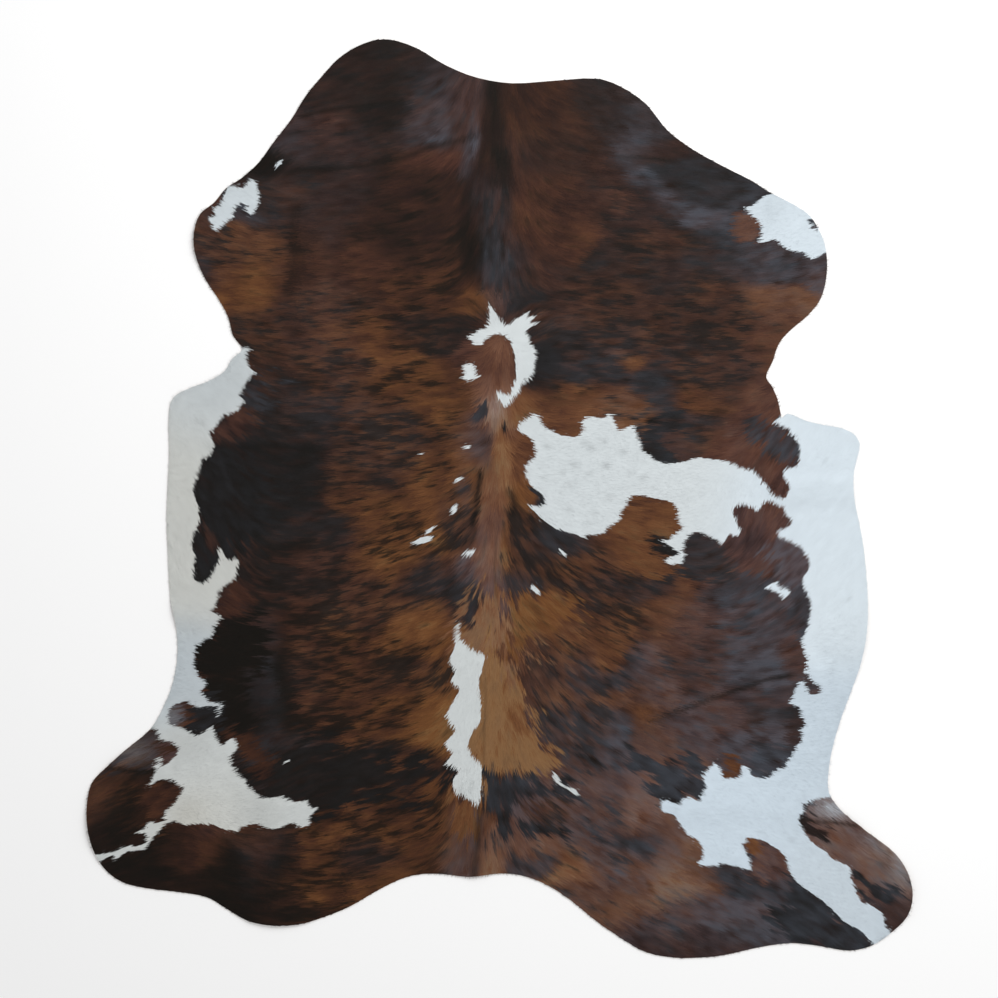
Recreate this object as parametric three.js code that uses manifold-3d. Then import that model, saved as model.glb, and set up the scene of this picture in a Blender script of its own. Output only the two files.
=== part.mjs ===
// Cowhide rug: one whole hair-on hide laid flat, with the neck towards +Y and the rump towards -Y.
// Millimetres, +Z up. The origin is the middle of the hide's footprint, on the floor.
// Left and right are as seen from above: left is -X.
import * as THREE from "three";
import { mergeVertices } from "three/addons/utils/BufferGeometryUtils.js";
import Module from "manifold-3d";

// Driving dimensions
const hideWidth = 1980; // across the spine, between the outer ends of the hind feet
const hideLength = 2203; // along the spine, from the neck edge to the rump edge
const leatherThickness = 2;
const pileThickness = 3; // short hair, lying flat on the leather
const sheetThickness = leatherThickness + pileThickness;
const gridCell = 46; // spacing of the points that hold the folds
const edgeSteps = 3; // straight steps between two points of the edge
const cutDepth = 60; // height of the cutting block, well past the highest fold

// The edge, clockwise from the left half of the neck: each run is one stretch of the hide.
const edgeRuns = [
  {
    run: "neck",
    points: [[-350, 1080], [-310, 1096], [-265, 1101], [-200, 1082], [-130, 1041], [-50, 1009],
      [30, 997], [130, 1003], [235, 1008], [290, 990]],
  },
  {
    run: "right shoulder",
    points: [[352, 948], [375, 920], [405, 883], [465, 838], [545, 794]],
  },
  {
    run: "right foreleg",
    points: [[612, 760], [645, 738], [700, 710], [745, 680], [772, 637], [785, 590], [785, 530], [771, 478],
      [742, 441], [700, 405], [672, 373], [657, 330], [641, 292], [655, 270], [668, 240], [676, 205]],
  },
  {
    run: "right armpit",
    points: [[678, 194], [692, 204], [735, 188], [780, 177], [824, 169], [853, 154], [866, 131],
      [859, 95], [851, 55], [852, 5]],
  },
  {
    run: "right flank",
    points: [[861, -40], [872, -95], [880, -160], [885, -240], [882, -320], [868, -395], [846, -460],
      [820, -530], [800, -600], [791, -655], [792, -705]],
  },
  {
    run: "right hind leg",
    points: [[825, -752], [885, -800], [950, -850], [980, -895], [992, -950], [980, -1000],
      [945, -1038], [895, -1072], [840, -1084], [770, -1073]],
  },
  {
    run: "right haunch",
    points: [[700, -1066], [620, -1077], [540, -1095], [480, -1101], [420, -1101], [350, -1087],
      [290, -1052], [235, -1015], [170, -962], [110, -924], [50, -903]],
  },
  {
    run: "left haunch",
    points: [[0, -899], [-75, -907], [-140, -900], [-200, -902], [-245, -916], [-300, -944],
      [-361, -979], [-420, -1003], [-478, -1020], [-547, -1023], [-605, -1012], [-655, -984]],
  },
  {
    run: "left hind leg",
    points: [[-700, -957], [-760, -945], [-850, -934], [-905, -920], [-945, -892], [-972, -850],
      [-987, -800], [-991, -745], [-980, -683], [-945, -645], [-895, -600], [-838, -552],
      [-805, -495]],
  },
  {
    run: "left flank",
    points: [[-784, -440], [-773, -370], [-778, -295], [-790, -240], [-796, -130], [-799, -40],
      [-793, 100], [-793, 212], [-783, 243], [-750, 263], [-700, 282], [-660, 306], [-642, 336],
      [-618, 358]],
  },
  {
    run: "left foreleg",
    points: [[-640, 392], [-651, 435], [-672, 475], [-708, 530], [-731, 590], [-733, 640],
      [-718, 684], [-685, 711], [-657, 745], [-620, 769], [-578, 807]],
  },
  {
    run: "left shoulder",
    points: [[-542, 856], [-498, 913], [-464, 968], [-425, 1015], [-388, 1055]],
  },
];

// Creases left by folding the hide: soft ridges that stand clear of the floor.
const creases = [
  { crease: "right flank", from: [360, -528], to: [735, -412], halfWidth: 66, rise: 7 },
  { crease: "right haunch", from: [235, -812], to: [392, -982], halfWidth: 62, rise: 5 },
  { crease: "right thigh", from: [455, -752], to: [680, -756], halfWidth: 58, rise: 4 },
  { crease: "right hock", from: [740, -757], to: [870, -790], halfWidth: 56, rise: 5 },
  { crease: "right belly", from: [690, 22], to: [850, 20], halfWidth: 56, rise: 5 },
  { crease: "right shoulder", from: [262, 815], to: [570, 678], halfWidth: 78, rise: 6 },
  { crease: "neck and withers", from: [-34, 985], to: [-23, 480], halfWidth: 70, rise: 5 },
  { crease: "rump", from: [-52, -700], to: [-55, -892], halfWidth: 60, rise: 5 },
  { crease: "left neck", from: [-450, 928], to: [-350, 948], halfWidth: 56, rise: 4 },
  { crease: "left shoulder", from: [-525, 795], to: [-405, 803], halfWidth: 60, rise: 5 },
  { crease: "left ribs", from: [-480, 690], to: [-484, 445], halfWidth: 72, rise: 4 },
  { crease: "left belly", from: [-785, -276], to: [-690, -272], halfWidth: 58, rise: 5 },
  { crease: "left hock", from: [-940, -637], to: [-812, -652], halfWidth: 58, rise: 5 },
  { crease: "left thigh", from: [-552, -470], to: [-560, -940], halfWidth: 72, rise: 5 },
  { crease: "left haunch", from: [-372, -560], to: [-376, -930], halfWidth: 72, rise: 4 },
];

// Places where the edge doesn't quite lie down.
const liftedEdges = [
  { place: "right belly edge", at: [905, -330], reach: 150, rise: 8 },
  { place: "right hind foot", at: [1010, -950], reach: 130, rise: 9 },
  { place: "left hind foot", at: [-1010, -790], reach: 130, rise: 8 },
  { place: "right forefoot", at: [800, 560], reach: 120, rise: 7 },
  { place: "left forefoot", at: [-750, 620], reach: 110, rise: 7 },
  { place: "neck left corner", at: [-300, 1120], reach: 130, rise: 8 },
  { place: "left rump edge", at: [-540, -1045], reach: 140, rise: 6 },
];

// A bump that is 1 at the middle and runs out level at its reach.
function softBump(distance, reach) {
  return distance < reach ? 0.5 + 0.5 * Math.cos((Math.PI * distance) / reach) : 0;
}

// How far the hide stands off the floor at a place.
function heightAt(x, y) {
  const place = new THREE.Vector3(x, y, 0);
  const nearest = new THREE.Vector3();
  let height = 0;
  for (const { from, to, halfWidth, rise } of creases) {
    const line = new THREE.Line3(new THREE.Vector3(...from, 0), new THREE.Vector3(...to, 0));
    line.closestPointToPoint(place, true, nearest);
    height += rise * softBump(nearest.distanceTo(place), halfWidth);
  }
  for (const { at, reach, rise } of liftedEdges) {
    height += rise * softBump(place.distanceTo(new THREE.Vector3(...at, 0)), reach);
  }
  return height;
}

// The edge as one smooth closed line, brought to the hide's width and length.
function makeEdge() {
  const points = edgeRuns.flatMap(({ points }) => points.map(([x, y]) => new THREE.Vector3(x, y, 0)));
  const curve = new THREE.CatmullRomCurve3(points, true, "centripetal");
  const edge = curve.getPoints(points.length * edgeSteps).slice(0, -1);
  const box = new THREE.Box3().setFromPoints(edge);
  const middle = box.getCenter(new THREE.Vector3());
  const size = box.getSize(new THREE.Vector3());
  const fit = new THREE.Vector3(hideWidth / size.x, hideLength / size.y, 1);
  return edge.map((point) => point.sub(middle).multiply(fit));
}

// A level slab with its top and underside lifted together over the folds.
function makeFoldedSlab() {
  const columns = Math.ceil(hideWidth / gridCell) + 1;
  const rows = Math.ceil(hideLength / gridCell) + 1;
  const slab = new THREE.BoxGeometry(
    columns * gridCell, rows * gridCell, sheetThickness, columns, rows, 1);
  slab.translate(0, 0, sheetThickness / 2);
  const points = slab.attributes.position;
  for (let i = 0; i < points.count; i++) {
    points.setZ(i, points.getZ(i) + heightAt(points.getX(i), points.getY(i)));
  }
  return slab;
}

// An upright block of the edge's shape, to cut the slab with.
function makeCutter(edge) {
  const shape = new THREE.Shape(edge.map(({ x, y }) => new THREE.Vector2(x, y)));
  const cutter = new THREE.ExtrudeGeometry(shape, { depth: cutDepth, bevelEnabled: false });
  return cutter.translate(0, 0, -cutDepth / 3);
}

const wasm = await Module();
wasm.setup();

function toSolid(geometry) {
  geometry.deleteAttribute("normal");
  geometry.deleteAttribute("uv");
  const merged = mergeVertices(geometry);
  return new wasm.Manifold(new wasm.Mesh({
    numProp: 3,
    vertProperties: new Float32Array(merged.attributes.position.array),
    triVerts: new Uint32Array(merged.index.array),
  }));
}

function toGeometry(solid) {
  const { vertProperties, triVerts } = solid.getMesh();
  const geometry = new THREE.BufferGeometry();
  geometry.setAttribute("position", new THREE.BufferAttribute(vertProperties, 3));
  geometry.setIndex(new THREE.BufferAttribute(triVerts, 1));
  geometry.computeVertexNormals();
  return geometry;
}

function makeHide() {
  const solid = toSolid(makeFoldedSlab()).intersect(toSolid(makeCutter(makeEdge())));
  const material = new THREE.MeshStandardMaterial({ color: 0x4a3226, roughness: 0.6, metalness: 0 });
  const hide = new THREE.Mesh(toGeometry(solid), material);
  hide.name = "hide";
  return hide;
}

const rug = new THREE.Group();
rug.add(makeHide());

export default rug;
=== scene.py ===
import bmesh
import bpy
import numpy as np
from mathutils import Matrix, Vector


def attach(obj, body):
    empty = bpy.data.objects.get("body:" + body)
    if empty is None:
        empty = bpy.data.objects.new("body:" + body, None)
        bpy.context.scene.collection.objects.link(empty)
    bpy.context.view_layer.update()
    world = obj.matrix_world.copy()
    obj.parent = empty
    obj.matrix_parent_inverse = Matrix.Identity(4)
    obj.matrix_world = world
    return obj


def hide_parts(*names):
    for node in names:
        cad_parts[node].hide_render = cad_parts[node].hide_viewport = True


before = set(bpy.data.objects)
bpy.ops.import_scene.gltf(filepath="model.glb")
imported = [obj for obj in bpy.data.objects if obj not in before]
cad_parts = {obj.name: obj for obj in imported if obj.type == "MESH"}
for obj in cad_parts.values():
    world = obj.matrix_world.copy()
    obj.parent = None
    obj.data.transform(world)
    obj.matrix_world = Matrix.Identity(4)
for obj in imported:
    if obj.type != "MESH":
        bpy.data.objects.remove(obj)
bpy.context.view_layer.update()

# All places below are millimetres from the middle of the hide, x to the right and y to the neck.
mm = 0.001
tiny = 1e-12             # keeps a sum of weights from being nothing
facesUp = 0.5            # a face whose normal rises more than this is part of the top
chance = np.random.default_rng(41)  # seeded, so every run lays the same hair


def linearColor(hexText):
    channels = [int(hexText[i:i + 2], 16) / 255 for i in (1, 3, 5)]
    return [c / 12.92 if c <= 0.04045 else ((c + 0.055) / 1.055) ** 2.4 for c in channels] + [1.0]


def addNode(tree, kind, links=None, **settings):
    node = tree.nodes.new(kind)
    for name, value in settings.items():
        setattr(node, name, value)
    for socket, source in (links or {}).items():
        if isinstance(source, bpy.types.NodeSocket):
            tree.links.new(source, node.inputs[socket])
        else:
            node.inputs[socket].default_value = source
    return node


# How the hide lies: nearly flat, with soft ridges left by folding. Its edge lifts in places.
hide = {
    "leather": 2.0,        # thickness of the tanned skin
    "weld": 0.001,         # corners nearer than this are one
    "area": 3.10,          # square metres of it laid flat
    "cuts": 3,             # points added to each edge of the node's own triangles
    "waver": 0.7,          # height of the slow unevenness all over
    "waverTwist": 1.3,     # how much its waves bend
    "waverSizes": (170, 210, 145, 260),
}
ridges = [
    # place, from x, y, to x, y, half width, rise
    ("right flank", 360, -528, 735, -412, 66, 7),
    ("right haunch", 235, -812, 392, -982, 62, 5),
    ("right thigh", 455, -752, 680, -756, 58, 4),
    ("right hock", 740, -757, 870, -790, 56, 5),
    ("right belly", 690, 22, 850, 20, 56, 5),
    ("right shoulder", 262, 815, 570, 678, 78, 6),
    ("neck and withers", -34, 985, -23, 480, 70, 5),
    ("rump", -52, -700, -55, -892, 60, 5),
    ("left neck", -450, 928, -350, 948, 56, 4),
    ("left shoulder", -525, 795, -405, 803, 60, 5),
    ("left ribs", -480, 690, -484, 445, 72, 4),
    ("left belly", -785, -276, -690, -272, 58, 5),
    ("left hock", -940, -637, -812, -652, 58, 5),
    ("left thigh", -552, -470, -560, -940, 72, 5),
    ("left haunch", -372, -560, -376, -930, 72, 4),
]
lifts = [
    # place, middle x, y, reach, rise
    ("right belly edge", 905, -330, 150, 8),
    ("right hind foot", 1010, -950, 130, 9),
    ("left hind foot", -1010, -790, 130, 8),
    ("right forefoot", 800, 560, 120, 7),
    ("left forefoot", -750, 620, 110, 7),
    ("neck left corner", -300, 1120, 130, 8),
    ("left rump edge", -540, -1045, 140, 6),
]


def softBump(distance, reach):
    share = np.clip(distance / reach, 0, 1)
    return 0.5 + 0.5 * np.cos(np.pi * share)


def lineDistance(x, y, startX, startY, endX, endY):
    alongX, alongY = endX - startX, endY - startY
    t = ((x - startX) * alongX + (y - startY) * alongY) / (alongX ** 2 + alongY ** 2)
    t = np.clip(t, 0, 1)
    return np.hypot(x - startX - t * alongX, y - startY - t * alongY)


def hideHeight(x, y):
    height = np.zeros_like(x)
    for _, startX, startY, endX, endY, halfWidth, rise in ridges:
        height += rise * softBump(lineDistance(x, y, startX, startY, endX, endY), halfWidth)
    for _, midX, midY, reach, rise in lifts:
        height += rise * softBump(np.hypot(x - midX, y - midY), reach)
    sizeX, twistY, sizeY, twistX = hide["waverSizes"]
    slow = np.sin(x / sizeX + hide["waverTwist"] * np.sin(y / twistY))
    slow *= np.cos(y / sizeY + np.sin(x / twistX))
    return height + hide["waver"] * (1 + slow) / 2


# Which way the hair lies: away from the spine, down the legs, in whorls at the star and belly.
farPull = 1e-7           # places far from all the guides follow them faintly
farReach = 100
hairFlow = [
    # place, x, y, towards x, y, reach
    ("neck spine", -15, 950, 0, -1, 70),
    ("neck spine", -15, 800, 0, -1, 70),
    ("mane", 0, 680, 0, -1, 70),
    ("mane", 5, 540, 0, -1, 60),
    ("neck left", -180, 930, -0.9, -0.35, 160),
    ("neck left", -380, 950, -1, -0.15, 180),
    ("neck right", 160, 930, 0.95, -0.25, 150),
    ("neck right", 330, 880, 1, -0.2, 160),
    ("left shoulder", -160, 680, -1, -0.2, 130),
    ("left shoulder", -400, 680, -1, -0.05, 180),
    ("left shoulder", -620, 620, -1, 0.1, 130),
    ("left shoulder fleck", -530, 803, -0.6, -0.8, 24),
    ("left shoulder", -520, 480, -1, -0.05, 150),
    ("left forefoot", -640, 710, -0.6, 0.8, 60),
    ("right shoulder", 170, 680, 1, -0.15, 130),
    ("right shoulder", 420, 680, 1, -0.05, 180),
    ("right shoulder", 620, 500, 1, 0.05, 130),
    ("right forefoot", 690, 640, 0.9, 0.45, 70),
    ("withers star", -25, 455, -0.3, 1, 28),
    ("withers star", 45, 430, 0.55, 0.85, 30),
    ("withers star", 85, 400, 0.9, 0.5, 28),
    ("withers star", -60, 390, -1, 0.2, 32),
    ("withers star", 10, 330, 0.1, -1, 40),
    ("withers star", 20, 250, 0.3, -1, 30),
    ("left ribs", -150, 430, -1, -0.1, 100),
    ("left ribs", -150, 200, -1, -0.12, 120),
    ("left ribs", -400, 250, -1, 0.0, 180),
    ("left ribs", -400, 0, -1, -0.05, 180),
    ("right ribs", 180, 420, 1, -0.05, 130),
    ("right ribs", 400, 350, 1, 0.0, 180),
    ("right ribs", 200, 120, 1, 0.05, 130),
    ("right ribs", 450, 120, 1, -0.05, 130),
    ("left ribs", -110, 320, -1, -0.1, 45),
    ("left ribs", -110, 240, -1, -0.12, 45),
    ("left ribs", -110, 160, -1, -0.15, 40),
    ("left ribs", -110, 90, -0.97, -0.25, 35),
    ("left ribs", -200, 60, -1, -0.15, 60),
    ("right ribs", 90, 230, 0.9, -0.2, 40),
    ("right ribs", 80, 120, 0.9, -0.3, 30),
    ("spine", -10, 200, 0.05, -1, 30),
    ("spine", -10, 60, 0.0, -1, 30),
    ("spine", -15, -90, 0.0, -1, 30),
    ("spine", -15, -250, 0.0, -1, 32),
    ("spine", 0, -430, 0.05, -1, 60),
    ("spine", 10, -600, 0.1, -1, 60),
    ("spine", -20, -800, 0.0, -1, 70),
    ("loin left", -90, -20, -0.7, -0.7, 45),
    ("loin left", -85, -130, -0.6, -0.8, 45),
    ("loin left", -180, -90, -0.88, -0.48, 80),
    ("loin left", -180, -230, -0.87, -0.5, 90),
    ("loin left", -320, -200, -0.97, -0.25, 120),
    ("loin left", -200, -420, -0.93, -0.35, 100),
    ("loin left", -180, -600, -0.93, -0.36, 100),
    ("left side", -480, -350, -1, -0.1, 180),
    ("left side", -430, -600, -1, -0.08, 150),
    ("stripe", -85, -400, -0.25, -1, 40),
    ("stripe", -85, -560, -0.3, -1, 40),
    ("stripe", -75, -690, 0.0, -1, 40),
    ("rump left", -250, -740, -0.95, -0.3, 110),
    ("rump left", -350, -880, -0.96, -0.25, 150),
    ("rump left", -560, -880, -1, 0.1, 120),
    ("loin right", 60, -60, 0.6, -0.8, 50),
    ("loin right", 60, -160, 0.45, -0.9, 50),
    ("loin right", 160, -140, 0.82, -0.57, 80),
    ("loin right", 170, -290, 0.8, -0.6, 90),
    ("loin right", 330, -200, 0.95, -0.32, 110),
    ("loin right", 120, -480, 0.6, -0.8, 70),
    ("loin right", 240, -450, 0.8, -0.6, 100),
    ("loin right", 180, -640, 0.75, -0.66, 80),
    ("right side", 420, -330, 0.98, -0.18, 150),
    ("right side", 480, -520, 0.98, -0.2, 140),
    ("rump right", 120, -760, 0.85, -0.5, 100),
    ("rump right", 280, -760, 0.88, -0.47, 120),
    ("rump right", 180, -900, 0.85, -0.52, 120),
    ("rump right", 400, -980, 0.88, -0.47, 150),
    ("rump right", 620, -1000, 0.95, -0.3, 130),
    ("right thigh", 430, -690, 0.8, -0.6, 70),
    ("right hind leg", 760, -960, 0.75, -0.65, 120),
    ("right hind leg", 880, -860, 0.8, -0.6, 120),
    ("right hock", 620, -740, 0.8, -0.5, 110),
    ("right belly", 660, -120, 0.65, 0.75, 80),
    ("right belly", 690, -270, 0.7, 0.7, 90),
    ("right belly", 690, -430, 0.95, 0.1, 90),
    ("right belly", 680, 130, 0.45, 0.9, 70),
    ("right belly", 580, -20, -0.2, 1, 60),
    ("right belly edge", 830, -100, 0.7, 0.7, 160),
    ("right belly edge", 800, -500, 0.8, 0.0, 120),
    ("left belly", -690, 120, -0.55, 0.85, 90),
    ("left belly", -720, -80, -0.5, 0.87, 90),
    ("left belly", -660, -150, -0.2, 1, 60),
    ("left belly", -690, -320, -0.8, 0.4, 100),
    ("left belly", -620, 300, -0.5, 0.6, 60),
    ("left thigh", -640, -560, -0.8, -0.5, 80),
    ("left thigh", -520, -700, -0.6, -0.75, 70),
    ("left thigh", -620, -830, -0.8, 0.6, 90),
    ("left haunch fringe", -700, -795, -0.70, 0.70, 34),
    ("left hind leg", -800, -720, -0.9, -0.35, 110),
    ("left hind leg", -900, -800, -0.85, -0.5, 100),
    ("left hind leg", -780, -880, -0.95, -0.1, 100),
]


def flowAt(x, y):
    towardsX, towardsY = np.zeros_like(x), np.zeros_like(y)
    for _, midX, midY, toX, toY, reach in hairFlow:
        away = (x - midX) ** 2 + (y - midY) ** 2
        weight = np.exp(-away / (2 * reach ** 2)) / reach + farPull / (farReach ** 2 + away)
        towardsX += weight * toX
        towardsY += weight * toY
    length = np.hypot(towardsX, towardsY) + tiny
    return towardsX / length, towardsY / length


# Brindle is black hair in combed streaks over a tawny ground.
brindle = {
    "step": 2.2,           # spacing of the places where the streaks are worked out
    "halfX": 1020,         # half of the field that those places fill
    "halfY": 1130,
    "layers": [            # streak width, streak length, share, seed
        (24.0, 60.0, 0.45, 11),
        (8.5, 40.0, 0.55, 12),
        (4.0, 24.0, 0.60, 13),
    ],
    "stride": 3,           # steps of the comb across the width of a streak or tuft
    "spotWidth": 2.4,      # width of a spot of softened noise, over the blur that softens it
    "tufts": (10.0, 24.0, 14),  # width, length and seed of the tufts that mottle the ground colour
    "mottle": (48.0, 15),  # size and seed of its soft cloudiness
    "wanderSize": 84.5,    # size of the waves in which region borders wander
    "wanderSeeds": (16, 17),
    "wander": 15.0,        # how far they wander
    "calm": 160,           # nearer to the spine than this they wander less
    "leastWander": 0.2,    # share of the wander that is left at the spine
    "patchWander": 0.3,    # share of it for the parts with a clear border
}

step = brindle["step"]
gridXs = np.arange(-brindle["halfX"], brindle["halfX"] + step, step)
gridYs = np.arange(-brindle["halfY"], brindle["halfY"] + step, step)
gridX, gridY = np.meshgrid(gridXs, gridYs)
gridFlowX, gridFlowY = flowAt(gridX, gridY)


def readGrid(field, x, y):
    column = np.clip(np.rint((x - gridXs[0]) / step).astype(int), 0, len(gridXs) - 1)
    row = np.clip(np.rint((y - gridYs[0]) / step).astype(int), 0, len(gridYs) - 1)
    return field[row, column]


def spotNoise(spotSize, seed):
    # even random speckle, softened to spots of the size given
    blur = spotSize / brindle["spotWidth"] / step
    noise = np.fft.rfft2(np.random.default_rng(seed).standard_normal(gridX.shape))
    wavesY = np.fft.fftfreq(gridX.shape[0])[:, None]
    wavesX = np.fft.rfftfreq(gridX.shape[1])[None, :]
    noise *= np.exp(-2 * (np.pi * blur) ** 2 * (wavesX ** 2 + wavesY ** 2))
    noise = np.fft.irfft2(noise, gridX.shape)
    return noise / noise.std()


def combed(noise, length, stride):
    # the mean of the noise met along the hair, up and down from each place
    total = noise.copy()
    for way in (1, -1):
        x, y = gridX.copy(), gridY.copy()
        for _ in range(int(length / 2 / stride)):
            flowX, flowY = readGrid(gridFlowX, x, y), readGrid(gridFlowY, x, y)
            x += way * stride * flowX
            y += way * stride * flowY
            total += readGrid(noise, x, y)
    return (total - total.mean()) / total.std()


streaks = np.zeros(gridX.shape)
for streakWidth, streakLength, share, seed in brindle["layers"]:
    stride = max(step, streakWidth / brindle["stride"])
    fineStreaks = combed(spotNoise(streakWidth, seed), streakLength, stride)  # ends as the finest
    streaks += share * fineStreaks
tuftWidth, tuftLength, tuftSeed = brindle["tufts"]
tufts = combed(spotNoise(tuftWidth, tuftSeed), tuftLength, tuftWidth / brindle["stride"])
cloud = tufts + spotNoise(*brindle["mottle"])
wanderX, wanderY = [brindle["wander"] * spotNoise(brindle["wanderSize"], seed)
                    for seed in brindle["wanderSeeds"]]
print("streaks combed", gridX.shape)

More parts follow.
